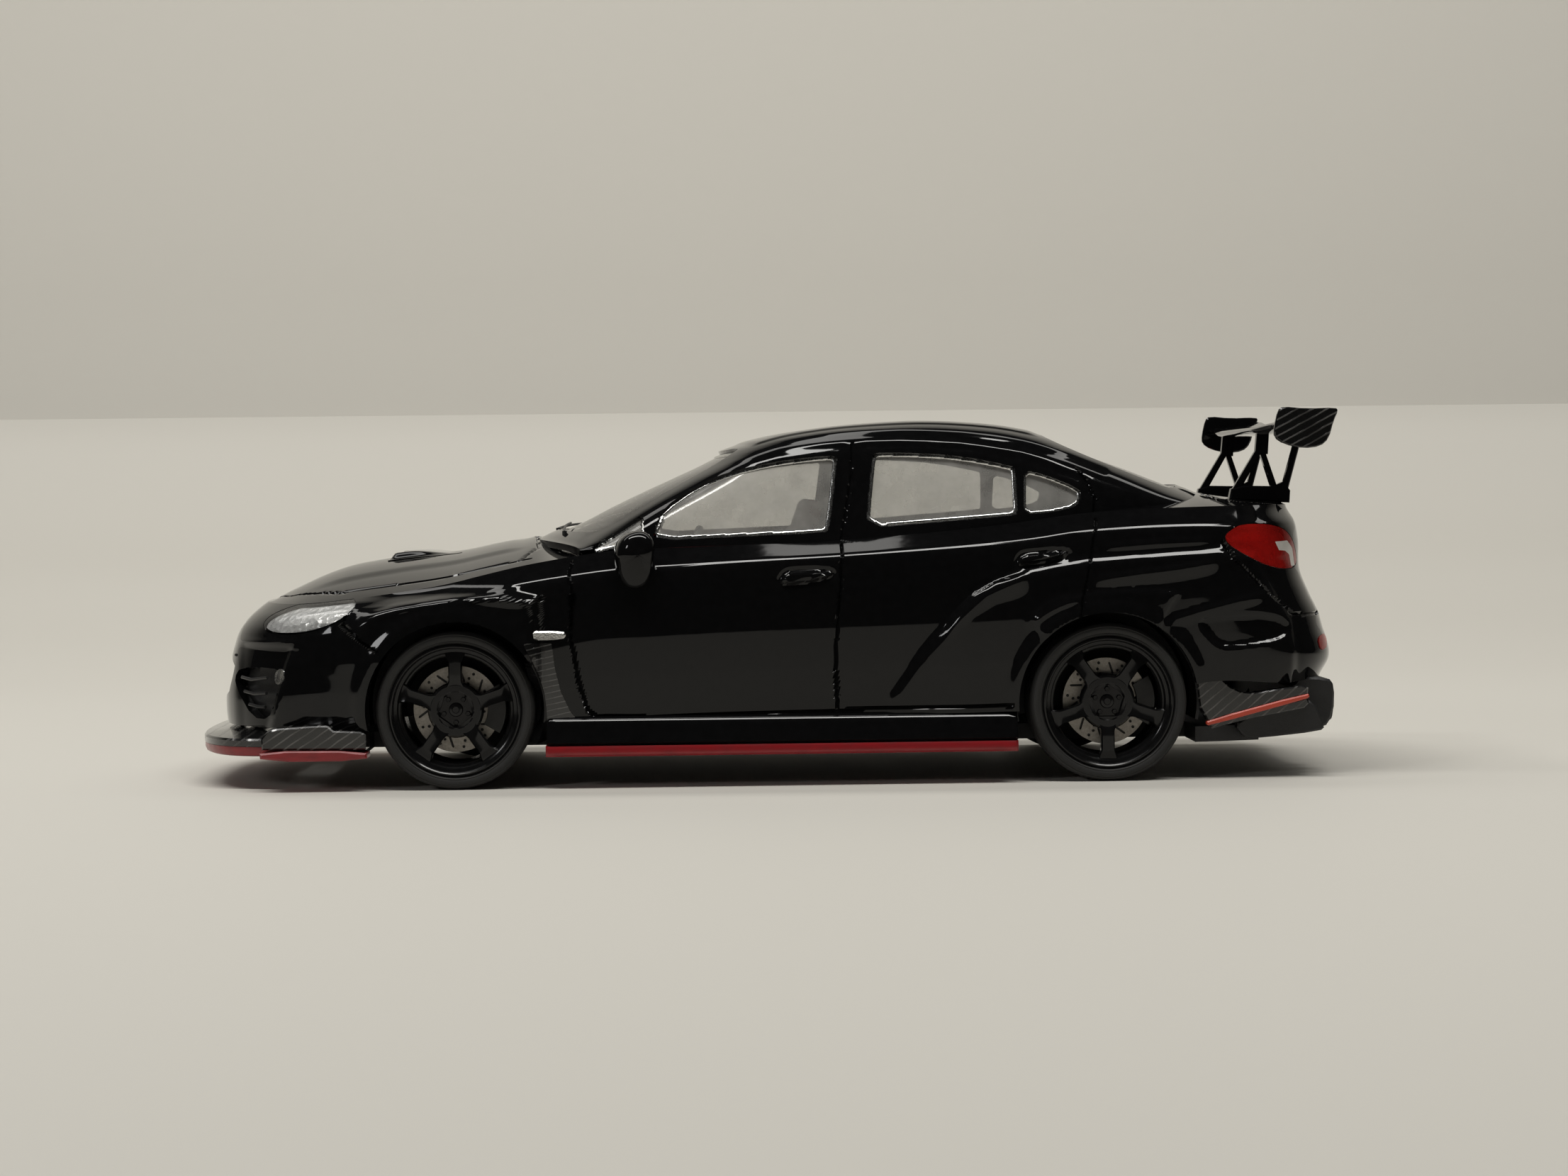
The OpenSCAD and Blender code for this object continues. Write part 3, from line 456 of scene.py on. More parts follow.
# %% [markdown]
# ## The finishes
# The casting is black lacquer over zinc: nearly black, very glossy, with the faint waviness of sprayed
# paint. The printed carbon is a dark base with thin paler diagonal lines under gloss. Clear panes are
# a mix of a see-through shader and a glossy one by Fresnel, which shows the far window through the near
# one without the cost of true refraction.

# %% Paint, plastics and rubber
def lacquer(name, tone, roughness, wave):
    s = Shader(name)
    haze = s.noise(0.5, 4.0)
    speck = s.noise(0.05, 2.0) > 0.74
    s.finish(s.surface(
        base_color=s.mix(haze * 0.5 + speck * 0.15, rgb(*tone), rgb(*[2.2 * c + 0.004 for c in tone])),
        roughness=haze * roughness + roughness * 0.5, coat_weight=0.1, coat_roughness=0.02,
        ior=1.33, normal=s.bump(s.noise(1.7, 2.0), wave)))


def moulded(name, tone, roughness, grain=0.08):
    s = Shader(name)
    fine = s.noise(grain, 3.0)
    s.finish(s.surface(
        base_color=s.mix(s.noise(0.9, 3.0), rgb(*tone), rgb(*[1.5 * c + 0.003 for c in tone])),
        roughness=fine * 0.2 + (roughness - 0.1), ior=1.45, normal=s.bump(fine, 0.012)))


lacquer("gloss_black", (0.0022, 0.0022, 0.0024), 0.05, 0.004)
lacquer("wheel_black", (0.004, 0.004, 0.0042), 0.16, 0.006)
moulded("satin_black", (0.012, 0.012, 0.0125), 0.42)
moulded("under_black", (0.02, 0.02, 0.021), 0.6)
moulded("seat_red", (0.12, 0.008, 0.012), 0.5, 0.05)
moulded("tyre_rubber", (0.0125, 0.0122, 0.0118), 0.62, 0.06)


def metal(name, tone, roughness, brushed=(1, 1, 1)):
    s = Shader(name)
    marks = s.noise(0.12, 4.0, brushed)
    s.finish(s.surface(
        base_color=s.mix(marks, rgb(*tone), rgb(*[0.6 * c for c in tone])), metallic=1.0,
        roughness=marks * 0.25 + roughness, normal=s.bump(marks, 0.01)))


metal("bright_steel", (0.72, 0.71, 0.69), 0.18, (1, 6, 1))
metal("bright_chrome", (0.8, 0.8, 0.8), 0.06)
metal("silver_edge", (0.83, 0.83, 0.81), 0.12)
metal("disc_steel", (0.42, 0.39, 0.35), 0.38)


def carbon(name, pitch, turn, base=0.006, line=0.10):
    """Diagonal printed lines, pitch millimetres apart, turned in the side view by an angle in degrees."""
    s = Shader(name)
    across = s.axis((1, 1, 1), (0, math.radians(turn), 0), 2)
    wobble = s.noise(1.2, 2.0)
    lines = (((across * (1 / pitch) + wobble * 0.25).repeat() < 0.2)
             * ((s.axis((1, 1, 1), (0, math.radians(turn), 0), 0) * 2.1 + wobble * 2.0).wave() * 0.3 + 0.7))
    s.finish(s.surface(
        base_color=s.mix(lines * 0.9, rgb(base, base, base), rgb(line, line * 0.97, line * 0.93)),
        roughness=lines * 0.15 + 0.16, coat_weight=0.5, coat_roughness=0.06,
        normal=s.bump(lines, 0.008)))


carbon("carbon_wing", 0.46, 28)
carbon("carbon_block", 0.5, 34)
carbon("carbon_spat", 0.5, 40)
carbon("carbon_panel", 0.37, 12)
carbon("carbon_flat", 0.55, 35, 0.007, 0.05)


def stripe(name, tone, dark=0.35):
    s = Shader(name)
    worn = s.noise(0.35, 5.0, (0.3, 1, 1))
    s.finish(s.surface(
        base_color=s.mix(worn, rgb(*tone), rgb(*[dark * c for c in tone])),
        roughness=worn * 0.3 + 0.2, coat_weight=0.3, normal=s.bump(worn, 0.01)))


stripe("red_stripe", (0.36, 0.012, 0.018))
stripe("orange_stripe", (0.62, 0.06, 0.025), 0.6)
print("solid finishes:", ", ".join(sorted(finishes)))

# %% Clear and red lenses
def clear(name, tint, gloss_tint=(1, 1, 1), body=0.0, body_tone=(0.02, 0.02, 0.02), wave=0.01):
    """A see-through pane: transparent where looked at squarely, glossy where looked at along it."""
    s = Shader(name)
    normal = s.bump(s.noise(1.1, 2.0), wave)
    through = s.node("ShaderNodeBsdfTransparent", sockets={"Color": rgb(*tint)})
    gloss = s.node("ShaderNodeBsdfGlossy", sockets={
        "Color": rgb(*gloss_tint), "Roughness": 0.03, "Normal": normal})
    rim = s.node("ShaderNodeFresnel", sockets={"IOR": 1.45, "Normal": normal})
    pane = s.node("ShaderNodeMixShader", sockets={0: rim, 1: through, 2: gloss})
    if body:
        skin = s.surface(base_color=rgb(*body_tone), roughness=0.08)
        pane = s.node("ShaderNodeMixShader", sockets={0: s.noise(1.3, 3.0) * body + body * 0.5, 1: pane, 2: skin})
    s.finish(pane)


clear("window_clear", (0.93, 0.93, 0.91), body=0.4, body_tone=(0.55, 0.54, 0.51), wave=0.008)
clear("screen_clear", (0.9, 0.9, 0.88))
clear("lamp_clear", (0.97, 0.97, 0.97), wave=0.02)
clear("lamp_red", (0.9, 0.05, 0.04), (1, 0.8, 0.8), 0.4, (0.58, 0.016, 0.012), 0.02)


def foil():
    s = Shader("lamp_foil")
    facets = s.node("ShaderNodeTexVoronoi", {"feature": "F1"}, {"Vector": s.place(), "Scale": 1.9}, out=0)
    fold = s.noise(0.4, 3.0)
    s.finish(s.surface(
        base_color=s.mix(fold, rgb(0.95, 0.95, 0.93), rgb(0.5, 0.5, 0.49)), metallic=0.25,
        roughness=fold * 0.3 + 0.15, normal=s.bump(facets + fold * 0.4, 0.14)))


foil()
stripe("lamp_white", (0.75, 0.73, 0.7), 0.8)
print("lens finishes made")

# %% [markdown]
# ## The lower body as one wrapped surface
# The casting's side runs from the middle of the nose, round the corner, along the doors and round the
# tail. One parameter goes along that plan outline and the other climbs from the sill to the shoulder
# and on to the edge of the bonnet and boot. The nose and tail corners are superellipses, so the plan
# goes from blunt to straight without a kink.

# %% Lines of the lower body
nose_x = curve([(2.0, -35.7), (3.9, -36.1), (6.0, -36.12), (6.9, -35.95), (8.7, -35.6), (10.3, -34.9),
                (11.2, -34.0), (11.8, -33.2), (12.4, -32.2)])
tail_x = curve([(5.0, 36.2), (6.2, 36.55), (7.4, 37.15), (8.6, 37.0), (9.3, 36.75), (10.2, 36.5), (11.7, 35.8),
                (13.1, 35.25), (15.1, 35.15), (16.35, 34.95), (17.4, 34.5)])
sill_z = curve([(-37, 3.85), (-26, 3.85), (-14.5, 3.0), (-12.4, 3.9), (-7.9, 4.15), (4, 4.4), (15.4, 4.5),
                (24, 4.9), (27.2, 6.05), (34, 6.05), (37, 6.2)])
shoulder_z = curve([(-36, 10.9), (-32, 11.15), (-28, 11.4), (-24, 11.9), (-20, 12.7), (-15, 13.35), (-6.8, 14.0),
                    (4, 14.52), (10, 14.83), (14.8, 15.12), (18, 15.4), (20.5, 15.75), (24, 16.0), (28, 16.15),
                    (34, 16.1), (37, 16.0)])
edge_z = curve([(-36, 11.7), (-33.4, 11.72), (-31.7, 11.85), (-30, 12.1), (-28, 12.4), (-25.1, 12.85),
                (-22.3, 13.45), (-19.6, 14.0), (-15, 14.7), (-13, 14.95), (-7, 15.14), (4, 15.5), (16, 16.4),
                (21, 16.95), (24, 17.15), (28, 17.3), (34.4, 17.4), (37, 17.4)])
HALF_WIDTH = 14.0
NOSE_LENGTH, NOSE_POWER, TAIL_LENGTH, TAIL_POWER = 12.5, 2.6, 9.4, 3.2
INSET = [(0.0, 0.35), (0.06, 0.24), (0.12, 0.16), (0.3, 0.06), (0.55, 0.0), (0.8, 0.02), (0.9, 0.06), (0.96, 0.13),
         (0.987, 0.2),
         (1.0, 0.3), (1.035, 0.36), (1.07, 0.42), (1.12, 0.56), (1.5, 1.62)]


def inset(v):
    """How far the side stands in from the half width; an even slope just round the shoulder makes one bright line."""
    return np.interp(v, *np.array(INSET).T)


def corner(length, power):
    """Arc length, run and height of a superellipse quarter from its tip to its full width."""
    t = np.linspace(0, math.pi / 2, 400)
    run = length * (1 - np.cos(t) ** (2 / power))
    height = np.sin(t) ** (2 / power)
    s = np.concatenate([[0], np.cumsum(np.hypot(np.diff(run), np.diff(height * HALF_WIDTH)))])
    return s, run, height


nose_corner, tail_corner = corner(NOSE_LENGTH, NOSE_POWER), corner(TAIL_LENGTH, TAIL_POWER)
MIDDLE = 36.1 - NOSE_LENGTH + 37.0 - TAIL_LENGTH
AROUND = nose_corner[0][-1] + MIDDLE + tail_corner[0][-1]


def outline(u, tip, end):
    """Place x and share of the half width at arc length u, for a nose at tip and a tail at end."""
    a, c = nose_corner[0][-1], tail_corner[0][-1]
    x_front = tip + np.interp(u, nose_corner[0], nose_corner[1])
    x_back = end - np.interp(AROUND - u, tail_corner[0], tail_corner[1])
    t = np.clip((u - a) / MIDDLE, 0, 1)
    x_mid = (tip + NOSE_LENGTH) * (1 - t) + (end - TAIL_LENGTH) * t
    x = np.where(u < a, x_front, np.where(u > AROUND - c, x_back, x_mid))
    share = np.interp(u, nose_corner[0], nose_corner[2]) * np.interp(AROUND - u, tail_corner[0], tail_corner[2])
    return x, share


print("plan outline length:", round(AROUND, 1), "mm")

# %% Flares, creases and recesses pressed into the sides
REAR_FLARE = [(7.0, 5.4), (9.3, 8.6), (11.4, 10.9), (13.2, 12.5), (15.8, 13.7), (20.0, 14.45), (28.6, 15.0),
              (31, 14.6),
              (32.2, 12.4), (33.5, 10.2), (33.8, 8), (33.8, 3), (7, 3)]
FRONT_FLARE = [(-28.6, 7.4), (-28.0, 10.4), (-26.2, 11.6), (-23.4, 12.4), (-20.2, 12.95), (-17.0, 12.95),
               (-14.4, 12.5),
               (-14.3, 10.3), (-14.2, 2), (-28.6, 2)]
BUMPER_VENT = rounded([(26.9, 10.35), (27.3, 9.3), (28.4, 8.25), (30, 8.35), (32.9, 8.75), (33.3, 10.0), (31.5, 10.7),
                       (28.0, 10.55)], 2)
HANDLES = [rounded([(0.45, 12.75), (0.6, 13.35), (1.2, 13.65), (3.9, 13.62), (3.95, 13.05), (1.2, 12.6)], 2),
           rounded([(15.45, 13.8), (15.7, 14.4), (16.3, 14.6), (18.8, 14.68), (19.0, 14.25), (16.2, 13.72)], 2)]
LEDGES = [([(20.9, 15.05), (24.5, 15.3), (28.2, 15.42)], 0.10, 0.8),
          ([(20.6, 13.0), (23.2, 13.35), (26.2, 13.7), (28.3, 14.05)], 0.17, 1.0),
          ([(24.6, 10.15), (27.1, 10.9), (29.6, 11.55), (31.6, 11.9)], 0.13, 0.8),
          ([(11.2, 10.35), (11.9, 11.2), (12.8, 12.0), (14.2, 12.8), (16.2, 13.3)], 0.2, 1.5),
          ([(16.2, 10.4), (17.3, 11.3), (18.3, 11.75), (19.7, 12.0)], 0.16, 1.0),
          ([(-25.6, 11.15), (-23.9, 11.7), (-21.0, 12.2), (-17.3, 12.3), (-15.2, 12.1)], 0.12, 0.8)]
REAR_LOOP = rounded([(16.0, 10.2), (17.6, 11.35), (20.2, 12.25), (24.3, 12.4), (26.2, 12.0), (25.4, 11.2), (24, 8),
                     (18, 8)], 2)
BUMPER_CREASE = [(-30.1, 9.3), (-30.75, 7.6), (-31.3, 5.7), (-31.85, 3.8)]


def pressed(x, z):
    """How far the side stands out at a place in the side view: flares out, recesses in."""
    def bank(outline, wide):
        return step(depth_in(outline, x, z), 0, wide)
    def ledge(path, height, fade):
        px, pz = np.array(path).T
        below = np.interp(x, px, pz) - z
        along = step(x, px[0] - 0.4, px[0] + 1.2) * step(-x, -px[-1] - 0.4, -px[-1] + 1.2)
        return height * step(below, -0.16, 0.16) * step(-below, -fade, -0.2) * along
    near_front = bank(FRONT_FLARE, 1.1) * step(x, -28.4, -25.5)
    ring = np.hypot(x - FRONT_AXLE, z - HUB_Z)
    out = 0.62 * near_front + 0.22 * near_front * step(ring, 6.9, 6.0)
    out = out * np.where(x > -15.4, step(-x, 14.2, 14.9), 1)
    rear = bank(REAR_FLARE, 0.8) * (0.35 + 0.65 * step(x, 9.0, 12.5))
    ring = np.hypot(x - REAR_AXLE, z - HUB_Z)
    out += 0.42 * rear + 0.22 * bank(REAR_LOOP, 0.4) + 0.18 * step(ring, 6.7, 5.9)
    out -= 0.26 * bank(BUMPER_VENT, 0.42)
    for handle in HANDLES:
        out += 0.2 * bank(handle, 0.3)
        out -= 0.09 * step(-np.abs(depth_in(handle, x, z)), -0.25, -0.05)
    out += sum(ledge(*line) for line in LEDGES)
    front = step(-x, 29.5, 31)
    crease = np.interp(z, [3.8, 5.7, 7.6, 9.3], [-31.85, -31.3, -30.75, -30.1])
    out -= 0.45 * step(crease - x, 0, 0.7) * step(9.4 - z, 0, 0.5) * step(x, -34.9, -34.0)
    out += 0.18 * front * step(np.abs(z - 9.2), 0.5, 0.1)
    return out


def side_form(u, v):
    """The side: u runs round the plan outline; v is 0 at the sill, 1 at the shoulder, 1.5 at the edge."""
    x_rough, _ = outline(u, -36.1, 37.0)
    low, mid, top = sill_z(x_rough), shoulder_z(x_rough), edge_z(x_rough)
    z = np.where(v < 1, low + (mid - low) * v, mid + (top - mid) * (v - 1) * 2)
    x, share = outline(u, nose_x(z), tail_x(z))
    front = step(x, -24, -33)
    width = HALF_WIDTH - inset(v) * (1 - 0.5 * front) + pressed(x, z) * step(share, 0.2, 0.75)
    return np.stack([x, -width * share, z], axis=-1)


print("front wheel flare stands out", round(float(pressed(np.array(-20.0), np.array(11.4))), 2), "mm")

# %% [markdown]
# ## Cutting and engraving the sides
# The wheel arches, lamps and bumper mouths are cut from the panel, and the doors are only engraved:
# on the real casting they are V grooves too, because nothing opens. Modelling one side and mirroring
# its arrays keeps both sides alike.

# %% The two body sides
def arch(axle, radius):
    """Wheel opening: an arc over the hub, closed far below the sill."""
    a = np.radians(np.linspace(-38, 218, 60))
    arc = np.stack([axle + radius * np.cos(a), HUB_Z + radius * np.sin(a)], axis=1)
    return np.vstack([[arc[0, 0], -2], arc, [arc[-1, 0], -2]])


HEADLAMP = rounded([(-32.75, 10.2), (-32.6, 10.75), (-31.75, 11.28), (-30.1, 11.8), (-28.0, 12.16), (-26.85, 12.24),
                    (-26.35, 11.85), (-26.5, 11.4), (-27.4, 10.65), (-28.8, 10.12), (-30.2, 9.86), (-31.9, 9.82)], 2)
TAIL_LAMP = rounded([(28.6, 15.3), (29.4, 16.05), (30.3, 16.27), (32.1, 16.22), (33.4, 15.75), (34.1, 14.7),
                     (34.4, 13.3),
                     (32.3, 13.25), (29.9, 14.3)], 2)
FOG_MOUTH = rounded([(-34.9, 6.9), (-34.6, 6.2), (-33.4, 4.45), (-32.2, 4.4), (-31.75, 5.6), (-31.2, 7.4),
                     (-32.0, 7.75),
                     (-34.4, 7.6)], 1)
FRONT_DOOR = [(-12.66, 14.33), (-12.84, 13.4), (-12.62, 12.4), (-12.72, 9.4), (-12.3, 6.8), (-11.75, 4.9),
              (-11.2, 4.55), (-7.9, 4.45), (4.1, 4.72)]
CENTRE_GAP = [(4.48, 15.2), (4.35, 12.4), (4.03, 8.85), (4.0, 6.9), (4.1, 4.72)]
SILL_GAP = [(4.1, 4.72), (10, 4.85), (15.2, 4.85)]
REAR_DOOR = [(20.7, 16.6), (20.32, 14.5), (19.7, 11.6), (19.5, 10.5)]
FRONT_BUMPER_GAP = [(-26.7, 11.9), (-27.2, 10.5), (-26.0, 9.5), (-24.9, 8.8)]
REAR_BUMPER_GAP = [(28.6, 15.2), (29.4, 14.0), (30.5, 12.9), (32.0, 11.5), (33.5, 10.4), (36, 10.3)]
UPPER_GRILLE = rounded([(-5.4, 10.75), (5.4, 10.75), (4.6, 9.35), (-4.6, 9.35)], 1)
LOWER_GRILLE = rounded([(-7.5, 8.5), (7.5, 8.5), (6.4, 5.1), (-6.4, 5.1)], 1)


def at_nose(p):
    return p[..., 0] < -28


side = Panel(side_form, np.concatenate([spaced(0, 20, 0.16), spaced(20.15, AROUND - 14, 0.15),
                                        spaced(AROUND - 13.85, AROUND, 0.16)]),
             np.concatenate([spaced(0, 1, 0.0128), spaced(1.03, 1.5, 0.036)]))
for path in (FRONT_DOOR, CENTRE_GAP, SILL_GAP, REAR_DOOR, FRONT_BUMPER_GAP, REAR_BUMPER_GAP):
    side.groove(path, 0.17)
side.pull(BUMPER_CREASE)
for outline_points in (arch(FRONT_AXLE, 5.62), arch(REAR_AXLE, 5.72), HEADLAMP, TAIL_LAMP, FOG_MOUTH):
    side.cut(outline_points)
side.cut(UPPER_GRILLE, "end", facing=at_nose)
side.cut(LOWER_GRILLE, "end", facing=at_nose)
side_part = (side.points(), side.faces())
mesh_piece("body_side_left", *side_part, "gloss_black", slot="gloss_black_paint", stands_for=["body_shell"], lip=0.7)
mesh_piece("body_side_right", *mirrored(side_part), "gloss_black", slot="gloss_black_paint",
           stands_for=["body_shell"], lip=0.7)
print("body side:", len(side_part[1]), "triangles each")

# %% [markdown]
# ## Bonnet, scuttle and boot
# Between the two top edges the bonnet is a crowned sheet: straight across would look flat in the
# reflections, so its height falls from the middle with a power of the distance across.

# %% Crowned top panels
bonnet_mid = curve([(-33.4, 11.72), (-31.7, 12.45), (-29.8, 13.3), (-27.9, 13.85), (-26, 14.2), (-24, 14.45),
                    (-20, 14.85),
                    (-18.3, 15.2), (-16.4, 15.55), (-15.2, 15.75), (-14.4, 15.4), (-12.5, 15.05), (-6, 15.2)])
boot_mid = curve([(14, 16.0), (22, 17.4), (26, 18.0), (28, 18.3), (30, 18.05), (32, 17.8), (33.6, 17.78),
                  (34.3, 17.62),
                  (34.6, 17.45)])


def deck(middle, power):
    def form(u, w):
        """Top sheet: u runs along the body's edge, w goes from -1 at the left edge to 1 at the right."""
        edge = side_form(u, np.full(np.shape(u), 1.5))
        x, half, z = edge[..., 0], -edge[..., 1], edge[..., 2]
        top = np.maximum(middle(x), z)
        rise = (top - z) * (1 - np.abs(w) ** power)
        bulge = 0.12 * step(8.2 - np.abs(half * w), 0, 1.2) * step(x, -30.5, -27.5) * step(-x, 15.5, 17.5)
        return np.stack([x, half * w, z + rise + bulge], axis=-1)
    return form


def edge_at(x):
    """The arc length at which the body's top edge reaches x."""
    u = np.linspace(0, AROUND, 2000)
    return float(np.interp(x, side_form(u, np.full(2000, 1.5))[:, 0], u))


across = np.concatenate([spaced(-1, -0.9, 0.012), spaced(-0.885, 0.885, 0.0165), spaced(0.9, 1, 0.012)])
SCREEN_FOOT = [(-13.2, 0), (-12.7, 5), (-11.3, 9), (-9.8, 11.2), (0, 11.6), (0, -11.6), (-9.8, -11.2), (-11.3, -9),
               (-12.7, -5)]
bonnet = Panel(deck(bonnet_mid, 2.2), spaced(0.02, edge_at(-8.5), 0.2), across)
BONNET_GAP = [(-15.4, 11.1), (-19.5, 11.0), (-24, 10.7), (-27.6, 10.2), (-29.6, 8.7), (-31.4, 6.7), (-32.3, 4.2),
              (-32.55, 0)]
for sign in (1, -1):
    bonnet.groove([(x, y * sign) for x, y in BONNET_GAP], 0.15, "top")
    bonnet.groove([(-16.0, sign * 11.1), (-15.0, sign * 8), (-15.6, 0)], 0.13, "top")
bonnet.cut(SCREEN_FOOT, "top")
mesh_piece("bonnet_and_scuttle", bonnet.points(), bonnet.faces(), "gloss_black", slot="gloss_black_paint",
           stands_for=["body_shell"], lip=0.5)
boot = Panel(deck(boot_mid, 2.6), spaced(edge_at(19), AROUND - 0.02, 0.2), across)
boot.cut([(0, 10.2), (24.5, 9.6), (26.6, 8.6), (27.1, 0), (26.6, -8.6), (24.5, -9.6), (0, -10.2)], "top")
for sign in (1, -1):
    boot.groove([(28.4, 0), (28.5, sign * 5), (29.2, sign * 8.6), (30.6, sign * 9.7), (33.2, sign * 9.6),
                 (36, sign * 9.5)], 0.14, "top")
mesh_piece("boot_lid", boot.points(), boot.faces(), "gloss_black", slot="gloss_black_paint",
           stands_for=["body_shell"], lip=0.5)
print("bonnet and boot made")

# %% [markdown]
# ## The cabin
# Each cross-section of the cabin is a superellipse standing on the belt line, leaning in towards the
# roof. The power of the superellipse changes along the car, from boxy over the doors to softly
# crowned where the windscreen and the rear window run out into the bonnet and boot.

# %% Cabin surface with its windows
roof_z = curve([(-15.6, 15.62), (-14.45, 16.05), (-12.5, 16.94), (-10.6, 17.9), (-8.7, 18.8), (-6.7, 19.7),
                (-4.8, 20.55),
                (-2.9, 21.45), (-1, 22.0), (2.9, 22.62), (6.7, 22.95), (9.6, 23.07), (12.5, 22.98), (16.35, 22.57),
                (18.3, 22.15), (20.2, 21.5), (22.1, 20.85), (24.05, 20.15), (26, 19.4), (27.9, 18.65), (29.6, 18.1)])
cabin_half = curve([(-15.6, 12.36), (-8, 12.36), (8, 12.36), (14, 12.2), (21, 11.75), (25, 11.2), (30, 10.2)])
boxy = curve([(-15.6, 2.3), (-12.5, 3.4), (-9.0, 5.8), (-5, 7.4), (14, 7.4), (19, 6.2), (24, 4.4), (30, 2.4)])
sweep = curve([(-15.6, 2.2), (-6, 2.1), (-2, 1.5), (4, 0.15), (12, 0.0), (17, -0.5), (22, -1.3), (28, -1.6),
               (30, -1.6)])
RAIL = [(-11.6, 16.0), (-9.5, 17.1), (-7.4, 18.35), (-4.7, 19.95), (-2.4, 20.9), (0.6, 21.65), (3.5, 22.05),
        (5.5, 22.18),
        (8.5, 22.2), (12.4, 21.95), (16.4, 21.35), (19.4, 20.6), (21.7, 19.72)]

FRAME_FRONT = [(-12.4, 15.0), (-11.9, 15.6), (-8.2, 17.75), (-4.9, 19.75), (-2.4, 20.55), (0.4, 21.1), (4.0, 21.42),
               (4.75, 21.4),
               (4.95, 21.0), (4.5, 18.2), (4.12, 15.6)]
FRAME_REAR = [(4.95, 15.62), (5.4, 18.5), (5.7, 21.3), (6.2, 21.5), (10.3, 21.5), (13.3, 21.2), (16.2, 20.6),
              (20.1, 19.2), (21.1, 18.3),
              (21.15, 17.8), (20.85, 17.0)]


def cabin_form(t, f):
    """t runs along the roof's middle; f climbs from the left belt (0) over the roof (2) to the right belt (4)."""
    half_f = np.maximum(np.where(f <= 2, f, 4 - f), 0)
    a = np.where(half_f < 1, np.arctan(half_f), math.pi / 2 - np.arctan(2 - half_f))
    n = boxy(t)
    size = (np.cos(a) ** n + np.sin(a) ** n) ** (1 / n)
    out, up = np.cos(a) / size, np.sin(a) / size
    w = cabin_half(t)
    foot = edge_z(t + sweep(t) * (w / 10) ** 2) - 0.04
    height = roof_z(t) - foot
    y = (w - 0.27 * height * up) * out
    x = t + sweep(t) * (y / 10) ** 2
    panel = step(8.7 - np.abs(y), 0, 0.35) * step(t, -2.3, -1.6) * step(-t, -18.2, -17.2)
    z = foot + height * up + 0.1 * panel
    for path, deep in ((RAIL, 0.1), (FRAME_FRONT, 0.05), (FRAME_REAR, 0.05)):
        y = y - deep * step(-nearest(path, x, z, False)[2], -0.4, -0.05)
    return np.stack([x, np.where(f <= 2, -y, y), z], axis=-1)


GLASS_FRONT = rounded([(-7.55, 15.55), (-7.35, 16.6), (-6.9, 17.6), (-4.7, 19.1), (-2.5, 19.95), (0.1, 20.5),
                       (2.6, 20.8),
                       (4.4, 20.9), (4.3, 20.2), (4.05, 18.2), (3.75, 16.15), (3.5, 15.95), (-2, 15.75)], 1)
GLASS_REAR = rounded([(6.05, 16.2), (6.3, 18.6), (6.6, 20.9), (6.9, 21.05), (9.3, 21.0), (12.25, 20.78), (15.6, 20.1),
                      (15.8, 19.9), (15.85, 18), (15.85, 17.0), (15.5, 16.9), (10, 16.5)], 1)
GLASS_QUARTER = rounded([(16.2, 16.95), (16.25, 18.4), (16.3, 19.85), (17.75, 19.5), (19.9, 18.6), (20.0, 18.1),
                         (19.75, 17.45),
                         (18.1, 17.08)], 1)
GLASS_CORNER = rounded([(-11.45, 14.98), (-11.3, 15.35), (-9.75, 16.2), (-8.4, 17.1), (-8.1, 17.15), (-8.05, 16.2),
                        (-8.2, 15.35),
                        (-9.8, 15.1)], 1)
DOOR_TOP = [(4.48, 15.5), (4.7, 16.65), (5.25, 19.6), (5.32, 21.6)]
QUARTER_GAP = [(20.75, 16.8), (20.95, 17.8), (20.4, 19.1), (19.77, 19.9)]
SCREEN = rounded([(-14.1, 0), (-13.7, 4.5), (-12.4, 8.4), (-11.35, 9.75), (-10.6, 9.9), (-6, 9.0), (-2.1, 7.95),
                  (-1.9, 7.4), (-2.9, 4.2), (-3.3, 0),
                  (-2.9, -4.2), (-1.9, -7.4), (-2.1, -7.95), (-6, -9.0), (-10.6, -9.9), (-11.35, -9.75),
                  (-12.4, -8.4), (-13.7, -4.5)], 2)
BACKLIGHT = rounded([(18.6, 0), (18.35, 5), (17.9, 7.3), (18.6, 8.2), (22, 8.75), (25.6, 8.6), (26.5, 7.8),
                     (27.3, 4.5), (27.6, 0),
                     (27.3, -4.5), (26.5, -7.8), (25.6, -8.6), (22, -8.75), (18.6, -8.2), (17.9, -7.3), (18.35, -5)],
                     2)
WINDOWS = [("front_door", GLASS_FRONT), ("rear_door", GLASS_REAR), ("quarter", GLASS_QUARTER),
           ("corner", GLASS_CORNER)]


def on_left(p):
    return p[..., 1] < -2


def on_right(p):
    return p[..., 1] > 2


side_lines = np.concatenate([spaced(0, 1, 0.0205), spaced(1.022, 2, 0.0165)])
cabin_lines = np.concatenate([side_lines, 4 - side_lines[-2::-1]])
cabin = Panel(cabin_form, spaced(-15.5, 29.5, 0.16), cabin_lines)
for flank in (on_left, on_right):
    for path in (DOOR_TOP, QUARTER_GAP):
        cabin.groove(path, 0.14, facing=flank)
    for _, window in WINDOWS:
        cabin.cut(window, facing=flank)
cabin.cut(SCREEN, "top")
cabin.cut(BACKLIGHT, "top")
mesh_piece("cabin_shell", cabin.points(), cabin.faces(), "gloss_black", slot="gloss_black_paint",
           stands_for=["body_shell"], lip=0.45)
print("cabin shell:", len(cabin.faces()), "triangles")

